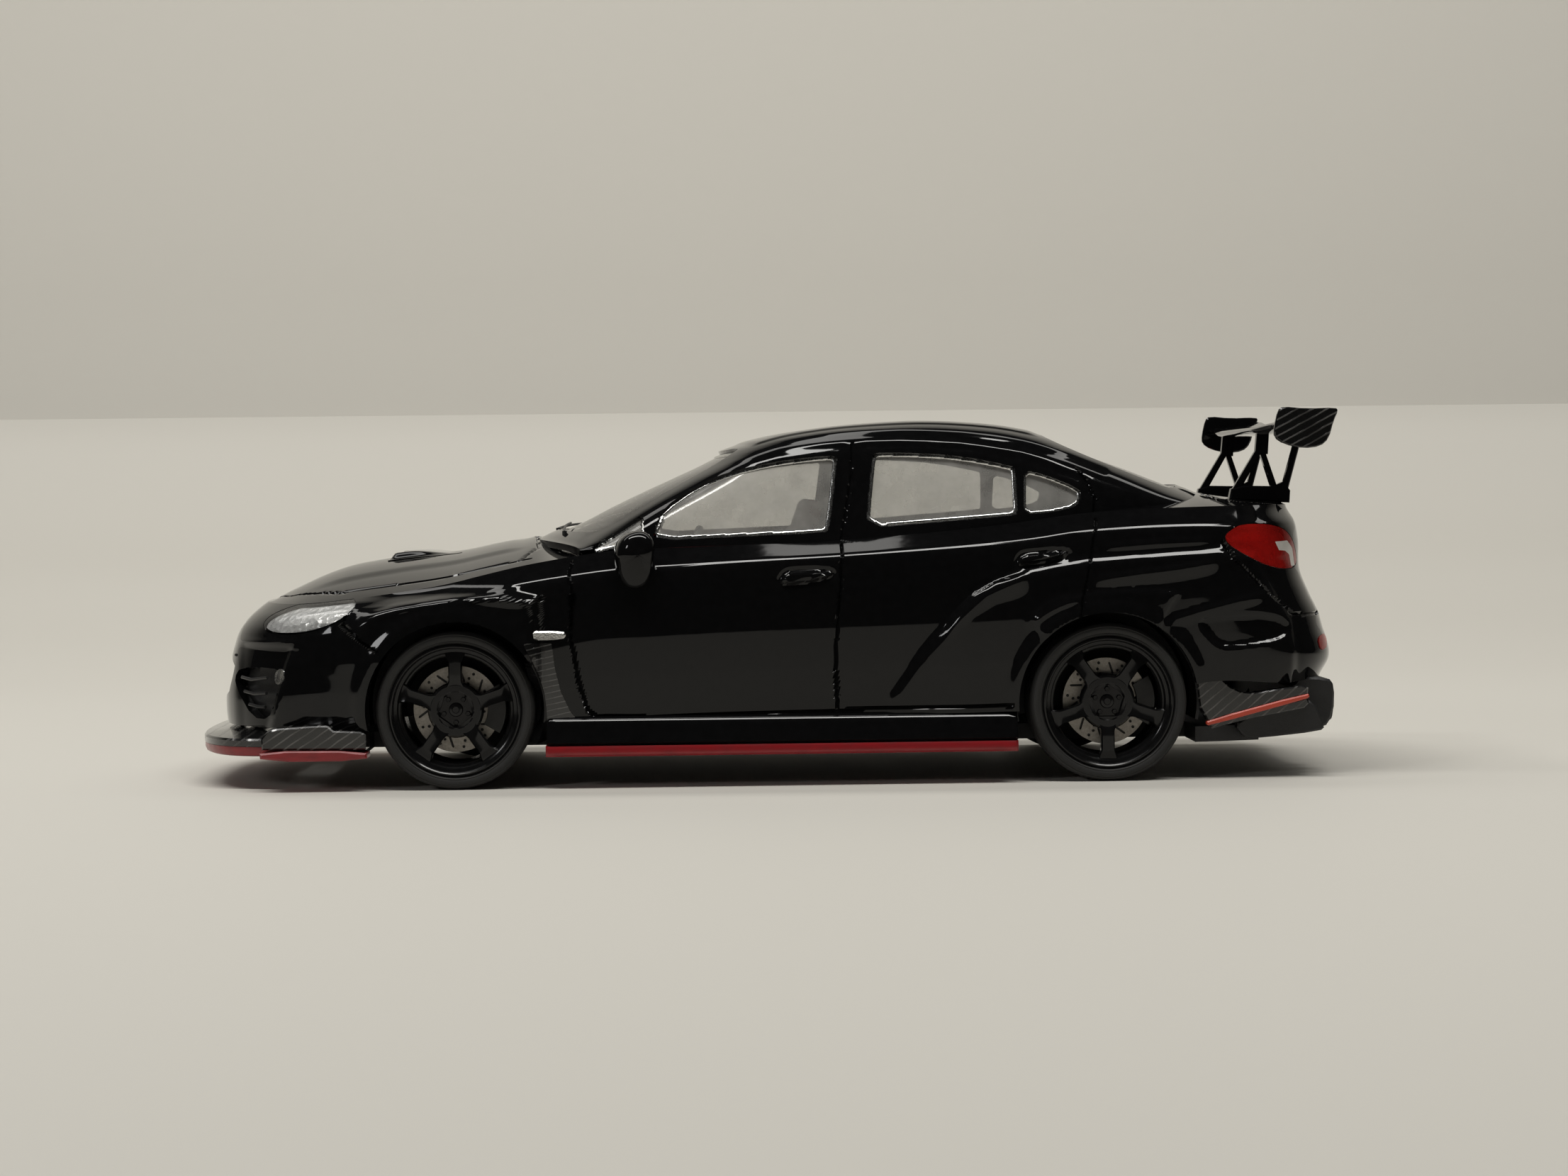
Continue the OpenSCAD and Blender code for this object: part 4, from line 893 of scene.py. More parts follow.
# %% [markdown]
# ## Glass and its bright edges
# The clear panes are moulded in one piece behind the openings on the real model, with a bright printed
# line round each. Each pane here is the same surface a little way inside, cut to its outline, and the
# bright line is the strip between that outline and a smaller copy of it.

# %% Panes and bright edges
def pane(name, window, view, t_range, f_range, facing, bright=0.3):
    """A glass sheet a third of a millimetre inside the cabin surface, and the bright strip at its edge."""
    t = spaced(*t_range, 0.15)
    f = spaced(*f_range, 0.02)
    glass = Panel(raised(cabin_form, -0.3), t, f)
    glass.cut(grown(window, 0.25), view, keep_inside=True, facing=facing)
    edge = Panel(raised(cabin_form, -0.22), t, f)
    edge.cut(grown(window, 0.05), view, keep_inside=True, facing=facing)
    edge.cut(grown(window, -bright), view, facing=facing)
    return (glass.points(), glass.faces()), (edge.points(), edge.faces())


glass_parts, screen_parts, edge_parts = [], [], []
for name, window in WINDOWS:
    xs = np.array(window)[:, 0]
    g, e = pane(name, window, "side", (xs.min() - 3.2, xs.max() + 2.0), (0, 1.3), on_left,
                0.26 if name in ("front_door", "rear_door") else 0.2)
    glass_parts += [g, mirrored(g)]
    edge_parts += [e, mirrored(e)]
for window, span in ((SCREEN, (-15.5, -1.0)), (BACKLIGHT, (16.5, 29.4))):
    g, e = pane("end", window, "top", span, (0.6, 3.4), None, 0.3)
    screen_parts.append(g)
    edge_parts.append(e)
mesh_piece("window_panes", *merged(*glass_parts), "window_clear", slot="clear_glazing", stands_for=["window_glazing"])
mesh_piece("screen_panes", *merged(*screen_parts), "screen_clear", slot="clear_glazing",
           stands_for=["window_glazing"])
mesh_piece("window_bright_edges", *merged(*edge_parts), "silver_edge", slot="clear_glazing",
           stands_for=["window_glazing"], lip=0.12, sharp=180)
print("glass panes:", len(glass_parts) + len(screen_parts))

# %% [markdown]
# ## Solid shapes: turned, lofted and plate-like
# Wheels are turned on a lathe, spokes and trim are lofted between cross-sections, and the thin aero
# pieces are plates with a small bevel. Three helpers cover them all. Each closed shape is turned right
# side out by the sign of its volume.

# %% Lathe, loft and plate
def outward(part):
    """Turns a closed shape's faces outwards, judged by the sign of its volume."""
    p, f = merged(part)
    a, b, c = p[f[:, 0]], p[f[:, 1]], p[f[:, 2]]
    return (p, f[:, ::-1]) if np.sum(a * np.cross(b, c)) < 0 else (p, f)


def lathe(profile, sides=96):
    """Turns a closed profile of (radius, height) points about the third axis."""
    r, h = np.array(profile, float).T
    t = np.linspace(0, 2 * math.pi, sides, endpoint=False)[:, None]
    p = np.stack([r * np.cos(t), r * np.sin(t), h + 0 * t], axis=-1)
    return outward((p, grid_faces(sides, len(r), True, True)))


def loft(sections):
    """Joins closed loops of equal length and closes both ends with flat caps."""
    s = np.array(sections, float)
    rows, cols = s.shape[:2]
    side_p, side_f = merged((s, grid_faces(rows, cols, False, True)))
    middle = s.reshape(-1, 3).mean(axis=0)
    a, b, c = [side_p[side_f[:, k]] - middle for k in range(3)]
    out = [(side_p, side_f if np.sum(a * np.cross(b, c)) >= 0 else side_f[:, ::-1])]
    for loop in (s[0], s[-1]):
        tri = np.array(tessellate_polygon([[Vector(v) for v in loop]]))
        a, b, c = [loop[tri[:, k]] for k in range(3)]
        away = np.sum(np.cross(b - a, c - a).sum(axis=0) * (loop.mean(axis=0) - middle))
        out.append((loop, tri if away > 0 else tri[:, ::-1]))
    return merged(*out)


def plate(outline_points, low, high, bevel=0.08, view="side"):
    """A plate between two depths with bevelled edges; its outline is drawn in the side, top or end view."""
    levels = [(low, -bevel), (low + bevel, 0), (high - bevel, 0), (high, -bevel)]
    order = {"side": (0, 2, 1), "top": (0, 1, 2), "end": (1, 2, 0)}[view]
    loops = []
    for depth, shrink in levels:
        flat = grown(outline_points, shrink)
        loop = np.zeros((len(flat), 3))
        loop[:, order[0]], loop[:, order[1]], loop[:, order[2]] = flat[:, 0], flat[:, 1], depth
        loops.append(loop)
    return loft(loops)


def bar(path, radius, sides=14):
    """A round bar along a path, with the radius given at each of its points."""
    p = np.array(path, float)
    t = np.gradient(p, axis=0)
    t /= np.linalg.norm(t, axis=1, keepdims=True)
    guide = np.where(np.abs(t[:, 2:3]) > 0.9, [[1.0, 0, 0]], [[0, 0, 1.0]])
    a = np.cross(t, guide)
    a /= np.linalg.norm(a, axis=1, keepdims=True)
    b = np.cross(t, a)
    w = np.linspace(0, 2 * math.pi, sides, endpoint=False)
    r = np.broadcast_to(radius, len(p))[:, None, None]
    return loft(p[:, None] + r * (a[:, None] * np.cos(w)[:, None] + b[:, None] * np.sin(w)[:, None]))


def both(part):
    return merged(part, mirrored(part))


def sided(name, part, finish, slot, node=None, **more):
    """Makes a left piece and its mirrored right one, each standing for its own engineered part."""
    for word, shape in (("left", part), ("right", mirrored(part))):
        mesh_piece(f"{name}_{word}", *shape, finish, slot=slot, stands_for=[f"{node}_{word}"] if node else (), **more)


print("lathe, loft and plate ready")

# %% [markdown]
# ## Wheels
# Each wheel is four pieces on the real model: a soft tyre, a five-spoke rim, and a drilled disc with
# its caliper, moulded together and pressed in behind the spokes. They are modelled about their own
# axis and then set on the hub, facing out of the car. All of them turn with the axle.

# %% One wheel in its own frame
TYRE_FACE = 14.3


def set_on_hub(part, hub_x, sign):
    """Own frame (across, up, out) to the car; on the right side that mirrors, so faces turn back."""
    p, f = part
    moved = np.stack([hub_x + p[:, 0], sign * (TYRE_FACE + p[:, 2]), HUB_Z + p[:, 1]], axis=1)
    return moved, (f if sign < 0 else f[:, ::-1])


def tyre_shape():
    """Sidewall with a rim guard ridge, rounded shoulders and four shallow grooves round the tread."""
    wall = [(4.16, -0.5), (4.2, -0.22), (4.28, -0.1), (4.34, -0.05), (4.4, -0.07), (4.46, -0.04), (4.62, 0.0),
            (4.72, -0.02),
            (4.76, -0.05), (4.8, -0.04), (4.88, -0.12), (4.95, -0.26), (5.0, -0.45), (5.02, -0.7)]
    tread = []
    for centre in (-1.15, -1.85, -2.55, -3.25):
        tread += [(5.02, centre + 0.12), (4.94, centre + 0.08), (4.94, centre - 0.08), (5.02, centre - 0.12)]
    back = [(r, -4.4 - h) for r, h in wall[::-1]]
    return lathe(wall + tread + back, 128)


def barrel_shape():
    """Outer lip, a step, a second ring and the barrel behind the spokes."""
    return lathe([(4.2, -0.3), (4.19, -0.16), (4.12, -0.07), (4.04, -0.05), (3.98, -0.1), (3.95, -0.3), (3.88, -0.42),
                  (3.78, -0.45), (3.7, -0.5), (3.66, -0.62), (3.6, -0.7), (3.5, -0.72), (3.44, -0.82), (3.4, -1.1),
                  (3.34, -3.6), (3.5, -3.95), (3.9, -4.1), (4.15, -4.12), (4.2, -4.0)], 128)


def spoke_shape(angle):
    """A spoke whose face dips towards the middle of its width and flares at both ends."""
    r = spaced(0.95, 3.62, 0.09)
    half = 0.44 + 0.42 * step(-r, -1.9, -1.0) + 0.22 * step(r, 3.0, 3.6)
    face = -0.62 + 0.14 * step(r, 1.2, 2.2) - 0.12 * step(r, 3.1, 3.6)
    across = np.array([-1, -0.97, -0.8, -0.55, 0, 0.55, 0.8, 0.97, 1, 0.9, 0, -0.9])
    dip = np.array([-0.3, -0.12, 0.0, -0.02, -0.035, -0.02, 0.0, -0.12, -0.3, -0.95, -0.95, -0.95])
    w = half[:, None] * across
    h = face[:, None] + dip
    c, s = math.cos(angle), math.sin(angle)
    return loft(np.stack([r[:, None] * c - w * s, r[:, None] * s + w * c, h], axis=-1))


def hub_shape(turn):
    """Round hub whose face is sunk in a rounded pentagon, closed behind."""
    corners = rounded([(1.42 * math.cos(turn + k * 2 * math.pi / 5),
                        1.42 * math.sin(turn + k * 2 * math.pi / 5)) for k in range(5)], 2)
    r = np.concatenate([spaced(0.02, 1.0, 0.14), spaced(1.04, 1.78, 0.045)])
    t = np.linspace(0, 2 * math.pi, 121)
    gr, gt = np.meshgrid(r, t, indexing="ij")
    x, y = gr * np.cos(gt), gr * np.sin(gt)
    deep = step(depth_in(corners, x, y), 0.02, 0.12)
    h = -0.6 - 0.42 * deep - 0.35 * step(gr, 1.62, 1.78)
    top = (np.stack([x, y, h], axis=-1), grid_faces(*gr.shape))
    return merged(top)


def nut_shape(x, y, radius, low, high, sides=6):
    t = np.linspace(0, 2 * math.pi, sides, endpoint=False)
    rings = [(radius, low), (radius, high - 0.05), (radius * 0.8, high), (radius * 0.45, high),
             (radius * 0.4, high - 0.06)]
    return loft([np.stack([x + r * np.cos(t), y + r * np.sin(t), h + 0 * t], axis=1) for r, h in rings])


def rim_shape(turn):
    parts = [barrel_shape(), hub_shape(turn)]
    parts += [spoke_shape(turn + k * 2 * math.pi / 5) for k in range(5)]
    parts += [nut_shape(0.8 * math.cos(turn + (k + 0.5) * 2 * math.pi / 5),
                        0.8 * math.sin(turn + (k + 0.5) * 2 * math.pi / 5),
                        0.17, -1.05, -0.82) for k in range(5)]
    parts.append(lathe([(0.0, -0.8), (0.2, -0.8), (0.24, -0.86), (0.4, -0.88), (0.45, -0.95), (0.45, -1.4),
                        (0.0, -1.4)], 48))
    parts.append(lathe([(1.3, -1.2), (1.3, -3.6), (0.65, -3.7), (0.65, -2.2), (0.0, -2.2), (0.0, -1.2)], 48))
    return merged(*parts)


def disc_form(r, t):
    return np.stack([r * np.cos(t), r * np.sin(t), np.full(np.shape(r), -1.75)], axis=-1)


def disc_shape():
    """Drilled and slotted face ring over a dark inner plate."""
    face = Panel(disc_form, spaced(1.32, 2.74, 0.05), np.linspace(0, 2 * math.pi, 301))
    ring = np.linspace(0, 2 * math.pi, 13)[:-1]
    for k in range(10):
        a = 2 * math.pi * (k + 0.22) / 10
        slot = np.array([(-0.36, -0.07), (0.36, -0.07), (0.42, 0), (0.36, 0.07), (-0.36, 0.07), (-0.42, 0)])
        c, s = math.cos(a + 0.5), math.sin(a + 0.5)
        face.cut(np.stack([2.12 * math.cos(a) + slot[:, 0] * c - slot[:, 1] * s,
                           2.12 * math.sin(a) + slot[:, 0] * s + slot[:, 1] * c], axis=1), "top")
        for r, shift in ((2.45, 0.55), (2.08, 0.66), (1.74, 0.6)):
            b = 2 * math.pi * (k + shift + 0.22) / 10
            face.cut(np.stack([r * math.cos(b) + 0.1 * np.cos(ring), r * math.sin(b) + 0.1 * np.sin(ring)], axis=1),
                     "top")
    p, f = face.points(), face.faces()
    p[..., 2] = -1.75
    rim = lathe([(2.74, -1.76), (2.76, -1.8), (2.76, -2.2), (2.6, -2.25), (1.32, -2.25), (1.32, -1.95), (2.7, -1.92)],
                96)
    return merged((p, f)), rim


def caliper_shape():
    """A black block that bridges the disc's edge on the side towards the tail."""
    a = np.radians(spaced(-30, 30, 3.0))
    profile = [(1.95, -1.7), (2.0, -1.52), (2.5, -1.5), (3.12, -1.52), (3.2, -1.62), (3.2, -2.3), (1.95, -2.3)]
    loops = [[(r * math.cos(t), r * math.sin(t), h) for r, h in profile] for t in a]
    return loft(loops)


tyre_part, disc_part, caliper_part = tyre_shape(), disc_shape(), caliper_shape()
print("one tyre:", len(tyre_part[1]), "triangles")

# %% The four wheels
for place, axle, body, turn in (("front", FRONT_AXLE, "front_wheels", math.pi / 2),
                                ("rear", REAR_AXLE, "rear_wheels", -math.pi / 2)):
    rim_part = rim_shape(turn)
    for word, sign in (("left", LEFT), ("right", RIGHT)):
        tag = f"{place}_{word}"
        mesh_piece(f"tyre_{tag}_soft", *set_on_hub(tyre_part, axle, sign), "tyre_rubber", body, "tyre_rubber",
                   [f"tyre_{tag}"], 30)
        mesh_piece(f"wheel_{tag}", *set_on_hub(rim_part, axle, sign), "wheel_black", body, "wheel_black",
                   [f"rim_{tag}"], 28)
        mesh_piece(f"disc_{tag}", *set_on_hub(disc_part[0], axle, sign), "disc_steel", body, "brake_metal",
                   [f"brake_{tag}"], 30, lip=0.16)
        mesh_piece(f"disc_core_{tag}", *set_on_hub(disc_part[1], axle, sign), "satin_black", body, "brake_metal",
                   [f"brake_{tag}"], 30)
        mesh_piece(f"caliper_{tag}", *set_on_hub(caliper_part, axle, sign), "wheel_black", body, "brake_metal",
                   [f"brake_{tag}"], 30)
print("four wheels set on their hubs")

# %% [markdown]
# ## Lamps
# A lamp on the model is a clear or red lens in its opening, over a bright crumpled reflector. The lens
# takes the body's own surface, so it lies flush, and the reflector is the same surface further in.

# %% Headlamps and tail lamps
def skin_patch(outline_points, u_range, v_range, lift, holes=(), gap=0.12):
    """A patch of the side's surface inside an outline, moved along the normal."""
    p = Panel(raised(side_form, lift), spaced(*u_range, gap), spaced(*v_range, 0.012))
    p.cut(outline_points, keep_inside=True)
    for hole in holes:
        p.cut(hole)
    return p.points(), p.faces()


def u_at(x, v=0.9):
    u = np.linspace(0, AROUND, 2000)
    return float(np.interp(x, side_form(u, np.full(2000, v))[:, 0], u))


nose_u, tail_u = (max(u_at(-33.5) - 3, 0), u_at(-25)), (u_at(27), AROUND - 4)
sided("headlamp_lens", skin_patch(grown(HEADLAMP, -0.03), nose_u, (0.6, 1.5), -0.02), "lamp_clear", "clear_lamp",
      "headlight")
sided("headlamp_bowl", skin_patch(grown(HEADLAMP, 0.1), nose_u, (0.6, 1.5), -0.75), "satin_black", "clear_lamp",
      "headlight")
sided("headlamp_foil", skin_patch(grown(HEADLAMP, -0.1), nose_u, (0.6, 1.5), -0.3), "lamp_foil", "clear_lamp",
      "headlight")
LAMP_WINDOW = [(32.3, 15.05), (33.3, 15.1), (33.75, 14.6), (34.0, 13.45), (33.65, 13.42), (33.45, 14.2),
               (33.1, 14.45), (32.6, 14.5)]
sided("tail_lamp_lens", skin_patch(grown(TAIL_LAMP, -0.04), tail_u, (0.5, 1.5), 0.0, [LAMP_WINDOW]), "lamp_red",
      "red_lamp", "tail_light")
sided("tail_lamp_white", skin_patch(LAMP_WINDOW, tail_u, (0.5, 1.5), 0.0), "lamp_white", "red_lamp", "tail_light")
sided("tail_lamp_foil", skin_patch(grown(TAIL_LAMP, 0.1), tail_u, (0.5, 1.5), -0.5), "lamp_foil", "red_lamp",
      "tail_light")
REFLECTOR = rounded([(35.3, 8.75), (35.95, 9.05), (36.3, 8.75), (36.2, 8.1), (35.5, 7.95)], 1)
sided("rear_reflector", skin_patch(REFLECTOR, tail_u, (0.1, 0.9), 0.06), "lamp_red", "red_lamp", "tail_light",
      lip=0.15)
print("lamps made")

# %% [markdown]
# ## Bumper mouths, vent panels and arch liners
# Behind each opening in the bumper sits a dark insert. Fine bars cross the two middle ones, and the
# corner mouths hold two fins and a small bright lamp surround. The patterned panel behind the front
# wheel follows the body's side, with a bright bar across the vent above it.

# %% Grilles and corner mouths
def mesh_bars(width_low, width_high, low, high, rows, depth):
    """Crossing slanted bars in front of a dark plate, in the end view."""
    parts = [plate([(-width_high, high), (width_high, high), (width_low, low), (-width_low, low)], depth + 0.25,
                   depth + 0.4, 0.03, "end")]
    for z in np.linspace(low + 0.15, high - 0.15, rows):
        w = np.interp(z, [low, high], [width_low, width_high]) - 0.1
        y = spaced(-w, w, 0.8)
        x = np.full(len(y), depth)
        parts.append(bar(np.stack([x, y, np.full(len(y), z)], axis=1), 0.09, 8))
    for y in spaced(-width_high + 0.6, width_high - 0.6, 0.9):
        if abs(y) < width_low:
            parts.append(bar([(depth + 0.08, y, low), (depth + 0.08, y, high)], 0.06, 6))
    return merged(*parts)


mesh_piece("grille_bars", *merged(mesh_bars(6.2, 7.3, 5.1, 8.5, 6, -34.85),
                                  mesh_bars(4.5, 5.3, 9.3, 10.85, 4, -33.95)), "satin_black",
           slot="black_plastic", stands_for=["front_grille"])
fog_u = (max(u_at(-35.6, 0.3) - 2, 0.5), u_at(-29, 0.3))
fog_back = skin_patch(grown(FOG_MOUTH, 0.2), fog_u, (-0.02, 0.7), -0.85)
fins = [bar([(x, y, z) for x, y, z in row], 0.11, 8) for row in
        ([(-34.2, -8.9, 7.0), (-33.4, -10.3, 6.9), (-32.2, -11.6, 7.1)],
         [(-34.0, -9.2, 6.1), (-33.2, -10.5, 6.0), (-32.3, -11.5, 6.1)],
         [(-33.6, -10.0, 5.3), (-32.9, -10.9, 5.2), (-32.4, -11.3, 5.2)])]
sided("corner_mouth", merged(fog_back, *fins), "satin_black", "black_plastic", "fog_vent")
fog_lamp = rounded([(-31.75, 7.3), (-31.55, 7.62), (-31.15, 7.68), (-31.05, 7.1), (-31.5, 6.6), (-31.75, 6.8)], 1)
sided("fog_lamp", skin_patch(fog_lamp, fog_u, (0.2, 0.8), 0.06), "silver_edge", "black_plastic", "fog_vent", lip=0.1)

VENT_PANEL = np.array([(-15.75, 9.25), (-13.98, 9.2), (-13.93, 8.9), (-13.78, 7.6), (-13.42, 6.1), (-12.85, 4.85),
                       (-12.2, 4.05),
                       (-11.2, 3.8), (-8.7, 3.7), (-7.7, 3.5), (-7.5, 3.05), (-14.2, 3.05), (-14.3, 4.1),
                       (-14.36, 5.2), (-14.45, 6.0), (-14.75, 7.2),
                       (-15.2, 8.2)])
panel_u = (u_at(-17), u_at(-6.5))
sided("vent_panel", skin_patch(VENT_PANEL, panel_u, (-0.16, 0.8), 0.07), "carbon_panel", "carbon_pattern",
      "fender_panel", lip=0.2)
garnish = plate(rounded([(-15.85, 9.75), (-15.6, 10.0), (-13.2, 9.98), (-13.0, 9.72), (-13.25, 9.42), (-15.6, 9.4)],
                        1), -14.5, -14.05, 0.12)
sided("vent_garnish", garnish, "silver_edge", "carbon_pattern", "fender_panel")


def liner(axle):
    """A half drum over the wheel, open below, with its inner end closed."""
    a = np.radians(spaced(-12, 192, 6))
    y = np.array([-13.3, -11, -9, -8.8])
    ga, gy = np.meshgrid(a, y, indexing="ij")
    drum = (np.stack([axle + 5.95 * np.cos(ga), gy, HUB_Z + 5.95 * np.sin(ga)], axis=-1),
            grid_faces(*ga.shape)[:, ::-1])
    r = spaced(0.9, 5.95, 0.8)
    gr, ga = np.meshgrid(r, a, indexing="ij")
    wall = (np.stack([axle + gr * np.cos(ga), np.full(gr.shape, -8.8), HUB_Z + gr * np.sin(ga)], axis=-1),
            grid_faces(*gr.shape))
    return merged(drum, wall)


mesh_piece("wheel_wells", *merged(both(liner(FRONT_AXLE)), both(liner(REAR_AXLE))), "under_black",
           slot="black_plastic",
           stands_for=["body_shell"], lip=0.2)
print("grilles, vents and wells made")

# %% [markdown]
# ## Splitter, skirts and spats
# The aero kit hangs on the foot of the body: a thin splitter with a red edge, a stepped block in front
# of each front wheel, a sill skirt over a red strip, and a patterned spat behind each rear wheel.

# %% The aero kit
def splitter_ring(profile):
    """Carries a profile of (inset, height) along the splitter's plan outline."""
    s = np.sin(np.linspace(-1, 1, 121) * math.pi / 2)
    g = np.abs(s) * math.pi / 2
    d, h = np.array(profile, float).T
    x = -31.2 - (6.25 - d) * np.cos(g)[:, None] ** 0.72
    y = np.sign(s)[:, None] * (12.5 - d) * np.sin(g)[:, None] ** 0.72
    return loft(np.stack([x, y, np.broadcast_to(h, x.shape)], axis=-1))


mesh_piece("splitter_top", *splitter_ring([(0.0, 2.75), (0.0, 3.12), (0.1, 3.25), (0.9, 3.42), (1.8, 3.62),
                                           (2.7, 3.85), (4.6, 3.9), (4.6, 2.6),
                                           (0.3, 2.6)]), "carbon_flat", slot="carbon_pattern",
                                           stands_for=["front_splitter"])
mesh_piece("splitter_red_edge", *splitter_ring([(0.3, 2.12), (0.12, 2.2), (0.04, 2.4), (0.04, 2.72), (0.2, 2.74),
                                                (1.4, 2.6), (1.4, 2.3)]),
           "red_stripe", slot="carbon_pattern", stands_for=["front_splitter"])
BLOCK = [(-32.2, 2.72), (-32.25, 3.4), (-31.85, 3.92), (-31.2, 4.06), (-28.6, 4.22), (-28.05, 4.2), (-27.7, 3.88),
         (-26.0, 3.8),
         (-25.68, 3.62), (-25.68, 2.66)]
sided("splitter_block_top", plate(BLOCK, -14.75, -12.4, 0.1), "carbon_block", "carbon_pattern", "splitter_block")
BLOCK_RED = rounded([(-32.4, 2.68), (-25.66, 2.62), (-25.6, 1.95), (-32.3, 1.98)], 1)
sided("splitter_block_red", plate(BLOCK_RED, -14.8, -12.6, 0.12), "red_stripe", "carbon_pattern", "splitter_block")


def along_sill(profile, x0, x1):
    """Carries a profile of (half width, height) along the sill, narrowing at both ends."""
    x = np.concatenate([[x0, x0 + 0.15], spaced(x0 + 0.6, x1 - 0.6, 1.0), [x1 - 0.15, x1]])
    y, z = np.array(profile, float).T
    tuck = np.where((x == x0) | (x == x1), 0.12, 0.0)[:, None]
    return loft(np.stack([np.broadcast_to(x[:, None], (len(x), len(y))), -(y - tuck),
                          np.broadcast_to(z, (len(x), len(y)))], axis=-1))


sided("sill_skirt", along_sill([(13.2, 2.76), (14.5, 2.76), (14.66, 2.9), (14.62, 3.05), (14.42, 3.3), (14.3, 3.9),
                                (14.1, 4.3), (13.8, 4.5), (13.2, 4.5)],
                               -14.3, 15.5), "gloss_black", "gloss_black_paint", "side_skirt")
sided("sill_red_strip", along_sill([(13.4, 2.04), (14.5, 2.02), (14.68, 2.16), (14.7, 2.5), (14.6, 2.7),
                                    (13.4, 2.72)], -14.4, 15.5),
      "red_stripe", "gloss_black_paint", "side_skirt")
SPAT_TOP = [(27.0, 6.3), (28.55, 6.47), (28.75, 6.2), (29.15, 5.85), (29.8, 5.55), (30.6, 5.45), (33.7, 5.88),
            (34.15, 5.75), (34.1, 5.25), (27.75, 3.62),
            (27.2, 4.6)]
SPAT_LOW = [(27.75, 3.5), (34.1, 5.1), (34.2, 4.75), (33.9, 4.45), (30.6, 3.85), (29.3, 3.55), (28.0, 3.2)]
SPAT_RED = rounded([(27.6, 3.75), (34.05, 5.42), (34.2, 5.2), (34.0, 5.05), (27.75, 3.42), (27.55, 3.5)], 1)
sided("rear_spat_print", merged(plate(SPAT_TOP, -13.7, -12.6, 0.08), plate(SPAT_LOW, -13.6, -12.4, 0.08)),
      "carbon_spat", "carbon_pattern", "rear_spat")
sided("rear_spat_strip", plate(SPAT_RED, -13.95, -13.4, 0.08), "orange_stripe", "carbon_pattern", "rear_spat")
print("aero kit made")

# %% Diffuser, corner tips and exhausts
TIP_PLATE = rounded([(29.5, 3.4), (30.2, 2.55), (31, 2.5), (35.0, 2.9), (35.35, 3.2), (34.6, 4.9), (33.6, 4.8),
                     (30.4, 3.95)], 1)
DIFFUSER = rounded([(31.4, 2.5), (35.6, 2.9), (36.25, 3.9), (36.3, 5.7), (35.9, 6.25), (33.4, 6.3), (33.4, 3.6),
                    (31.4, 3.3)], 1)
diffuser_parts = [both(plate(TIP_PLATE, -13.1, -11.2, 0.12)), plate(DIFFUSER, -11.4, 11.4, 0.15)]
for y in (-3.6, -1.2, 1.2, 3.6):
    diffuser_parts.append(plate([(31.6, 2.35), (36.1, 3.0), (36.45, 5.3), (34, 5.4)], y - 0.12, y + 0.12, 0.04))
mesh_piece("diffuser_and_fins", *merged(*diffuser_parts), "satin_black", slot="black_plastic",
           stands_for=["rear_diffuser"])
tips = []
for y in (-8.6, -6.1, 6.1, 8.6):
    ring = [(0.86, 0), (0.93, 0.05), (1.05, 0.05), (1.1, -0.05), (1.1, -1.9), (0.9, -1.9), (0.86, -1.8)]
    pipe, cup = lathe(ring, 64), lathe([(0.0, -1.5), (0.88, -1.5), (0.88, -1.7), (0.0, -1.7)], 48)
    for p, f in (pipe, cup):
        tips.append((np.stack([36.5 + p[:, 2], y + p[:, 0], 4.35 + p[:, 1]], axis=1), f))
mesh_piece("exhaust_pipes", *merged(*tips), "wheel_black", slot="bright_chrome", stands_for=["exhaust_tips"])
print("rear end made")

# %% [markdown]
# ## Rear wing
# The wing is a cambered blade between two patterned end plates, held by two open trusses. Its middle
# stands a little forward of its ends, as on the real part.

# %% Blade, end plates and trusses
def blade_shape():
    """A cambered section carried across the car; the chord's place follows the distance from the middle."""
    t = np.linspace(0, 1, 26)
    thick = 0.5 * (0.2969 * np.sqrt(t) - 0.126 * t - 0.3516 * t**2 + 0.2843 * t**3 - 0.1036 * t**4) / 0.1 * 0.55
    camber = -0.35 * t + 0.95 * t**2.4
    xs = np.concatenate([t, t[-2:0:-1]])
    zs = np.concatenate([camber + thick, (camber - thick)[-2:0:-1]])
    y = spaced(-13.75, 13.75, 0.55)
    fore = -0.55 * step(11.5 - np.abs(y), 0, 5)
    low = -0.25 * step(11.5 - np.abs(y), 0, 5)
    chord = 3.35 + 0.25 * step(11.5 - np.abs(y), 0, 5)
    x = 32.3 + fore[:, None] + chord[:, None] * xs
    z = 22.55 + low[:, None] + zs
    return loft(np.stack([x, np.broadcast_to(y[:, None], x.shape), z], axis=-1))


END_PLATE = rounded([(32.2, 23.4), (32.5, 23.66), (34.0, 23.5), (35.9, 23.55), (36.05, 23.35), (35.75, 22.7),
                     (35.45, 21.6), (34.9, 21.1), (33.8, 20.98),
                     (32.6, 21.25), (31.95, 21.7), (31.95, 22.3)], 1)
mesh_piece("wing_blade_cambered", *blade_shape(), "gloss_black", slot="carbon_pattern", stands_for=["wing_blade"])
sided("wing_plate", plate(END_PLATE, -14.2, -13.8, 0.1), "gloss_black", "carbon_pattern", "wing_end_plate")
sided("wing_plate_print", plate(grown(END_PLATE, -0.05), -14.28, -14.19, 0.03), "carbon_wing", "carbon_pattern",
      "wing_end_plate")


def strut(p, q, w0, w1, y):
    """A flat tapering strut between two points of the side view."""
    p, q = np.array(p), np.array(q)
    d = (q - p) / np.linalg.norm(q - p)
    n = np.array([-d[1], d[0]])
    return plate([p + n * w0, q + n * w1, q - n * w1, p - n * w0], y - 0.28, y + 0.28, 0.07)


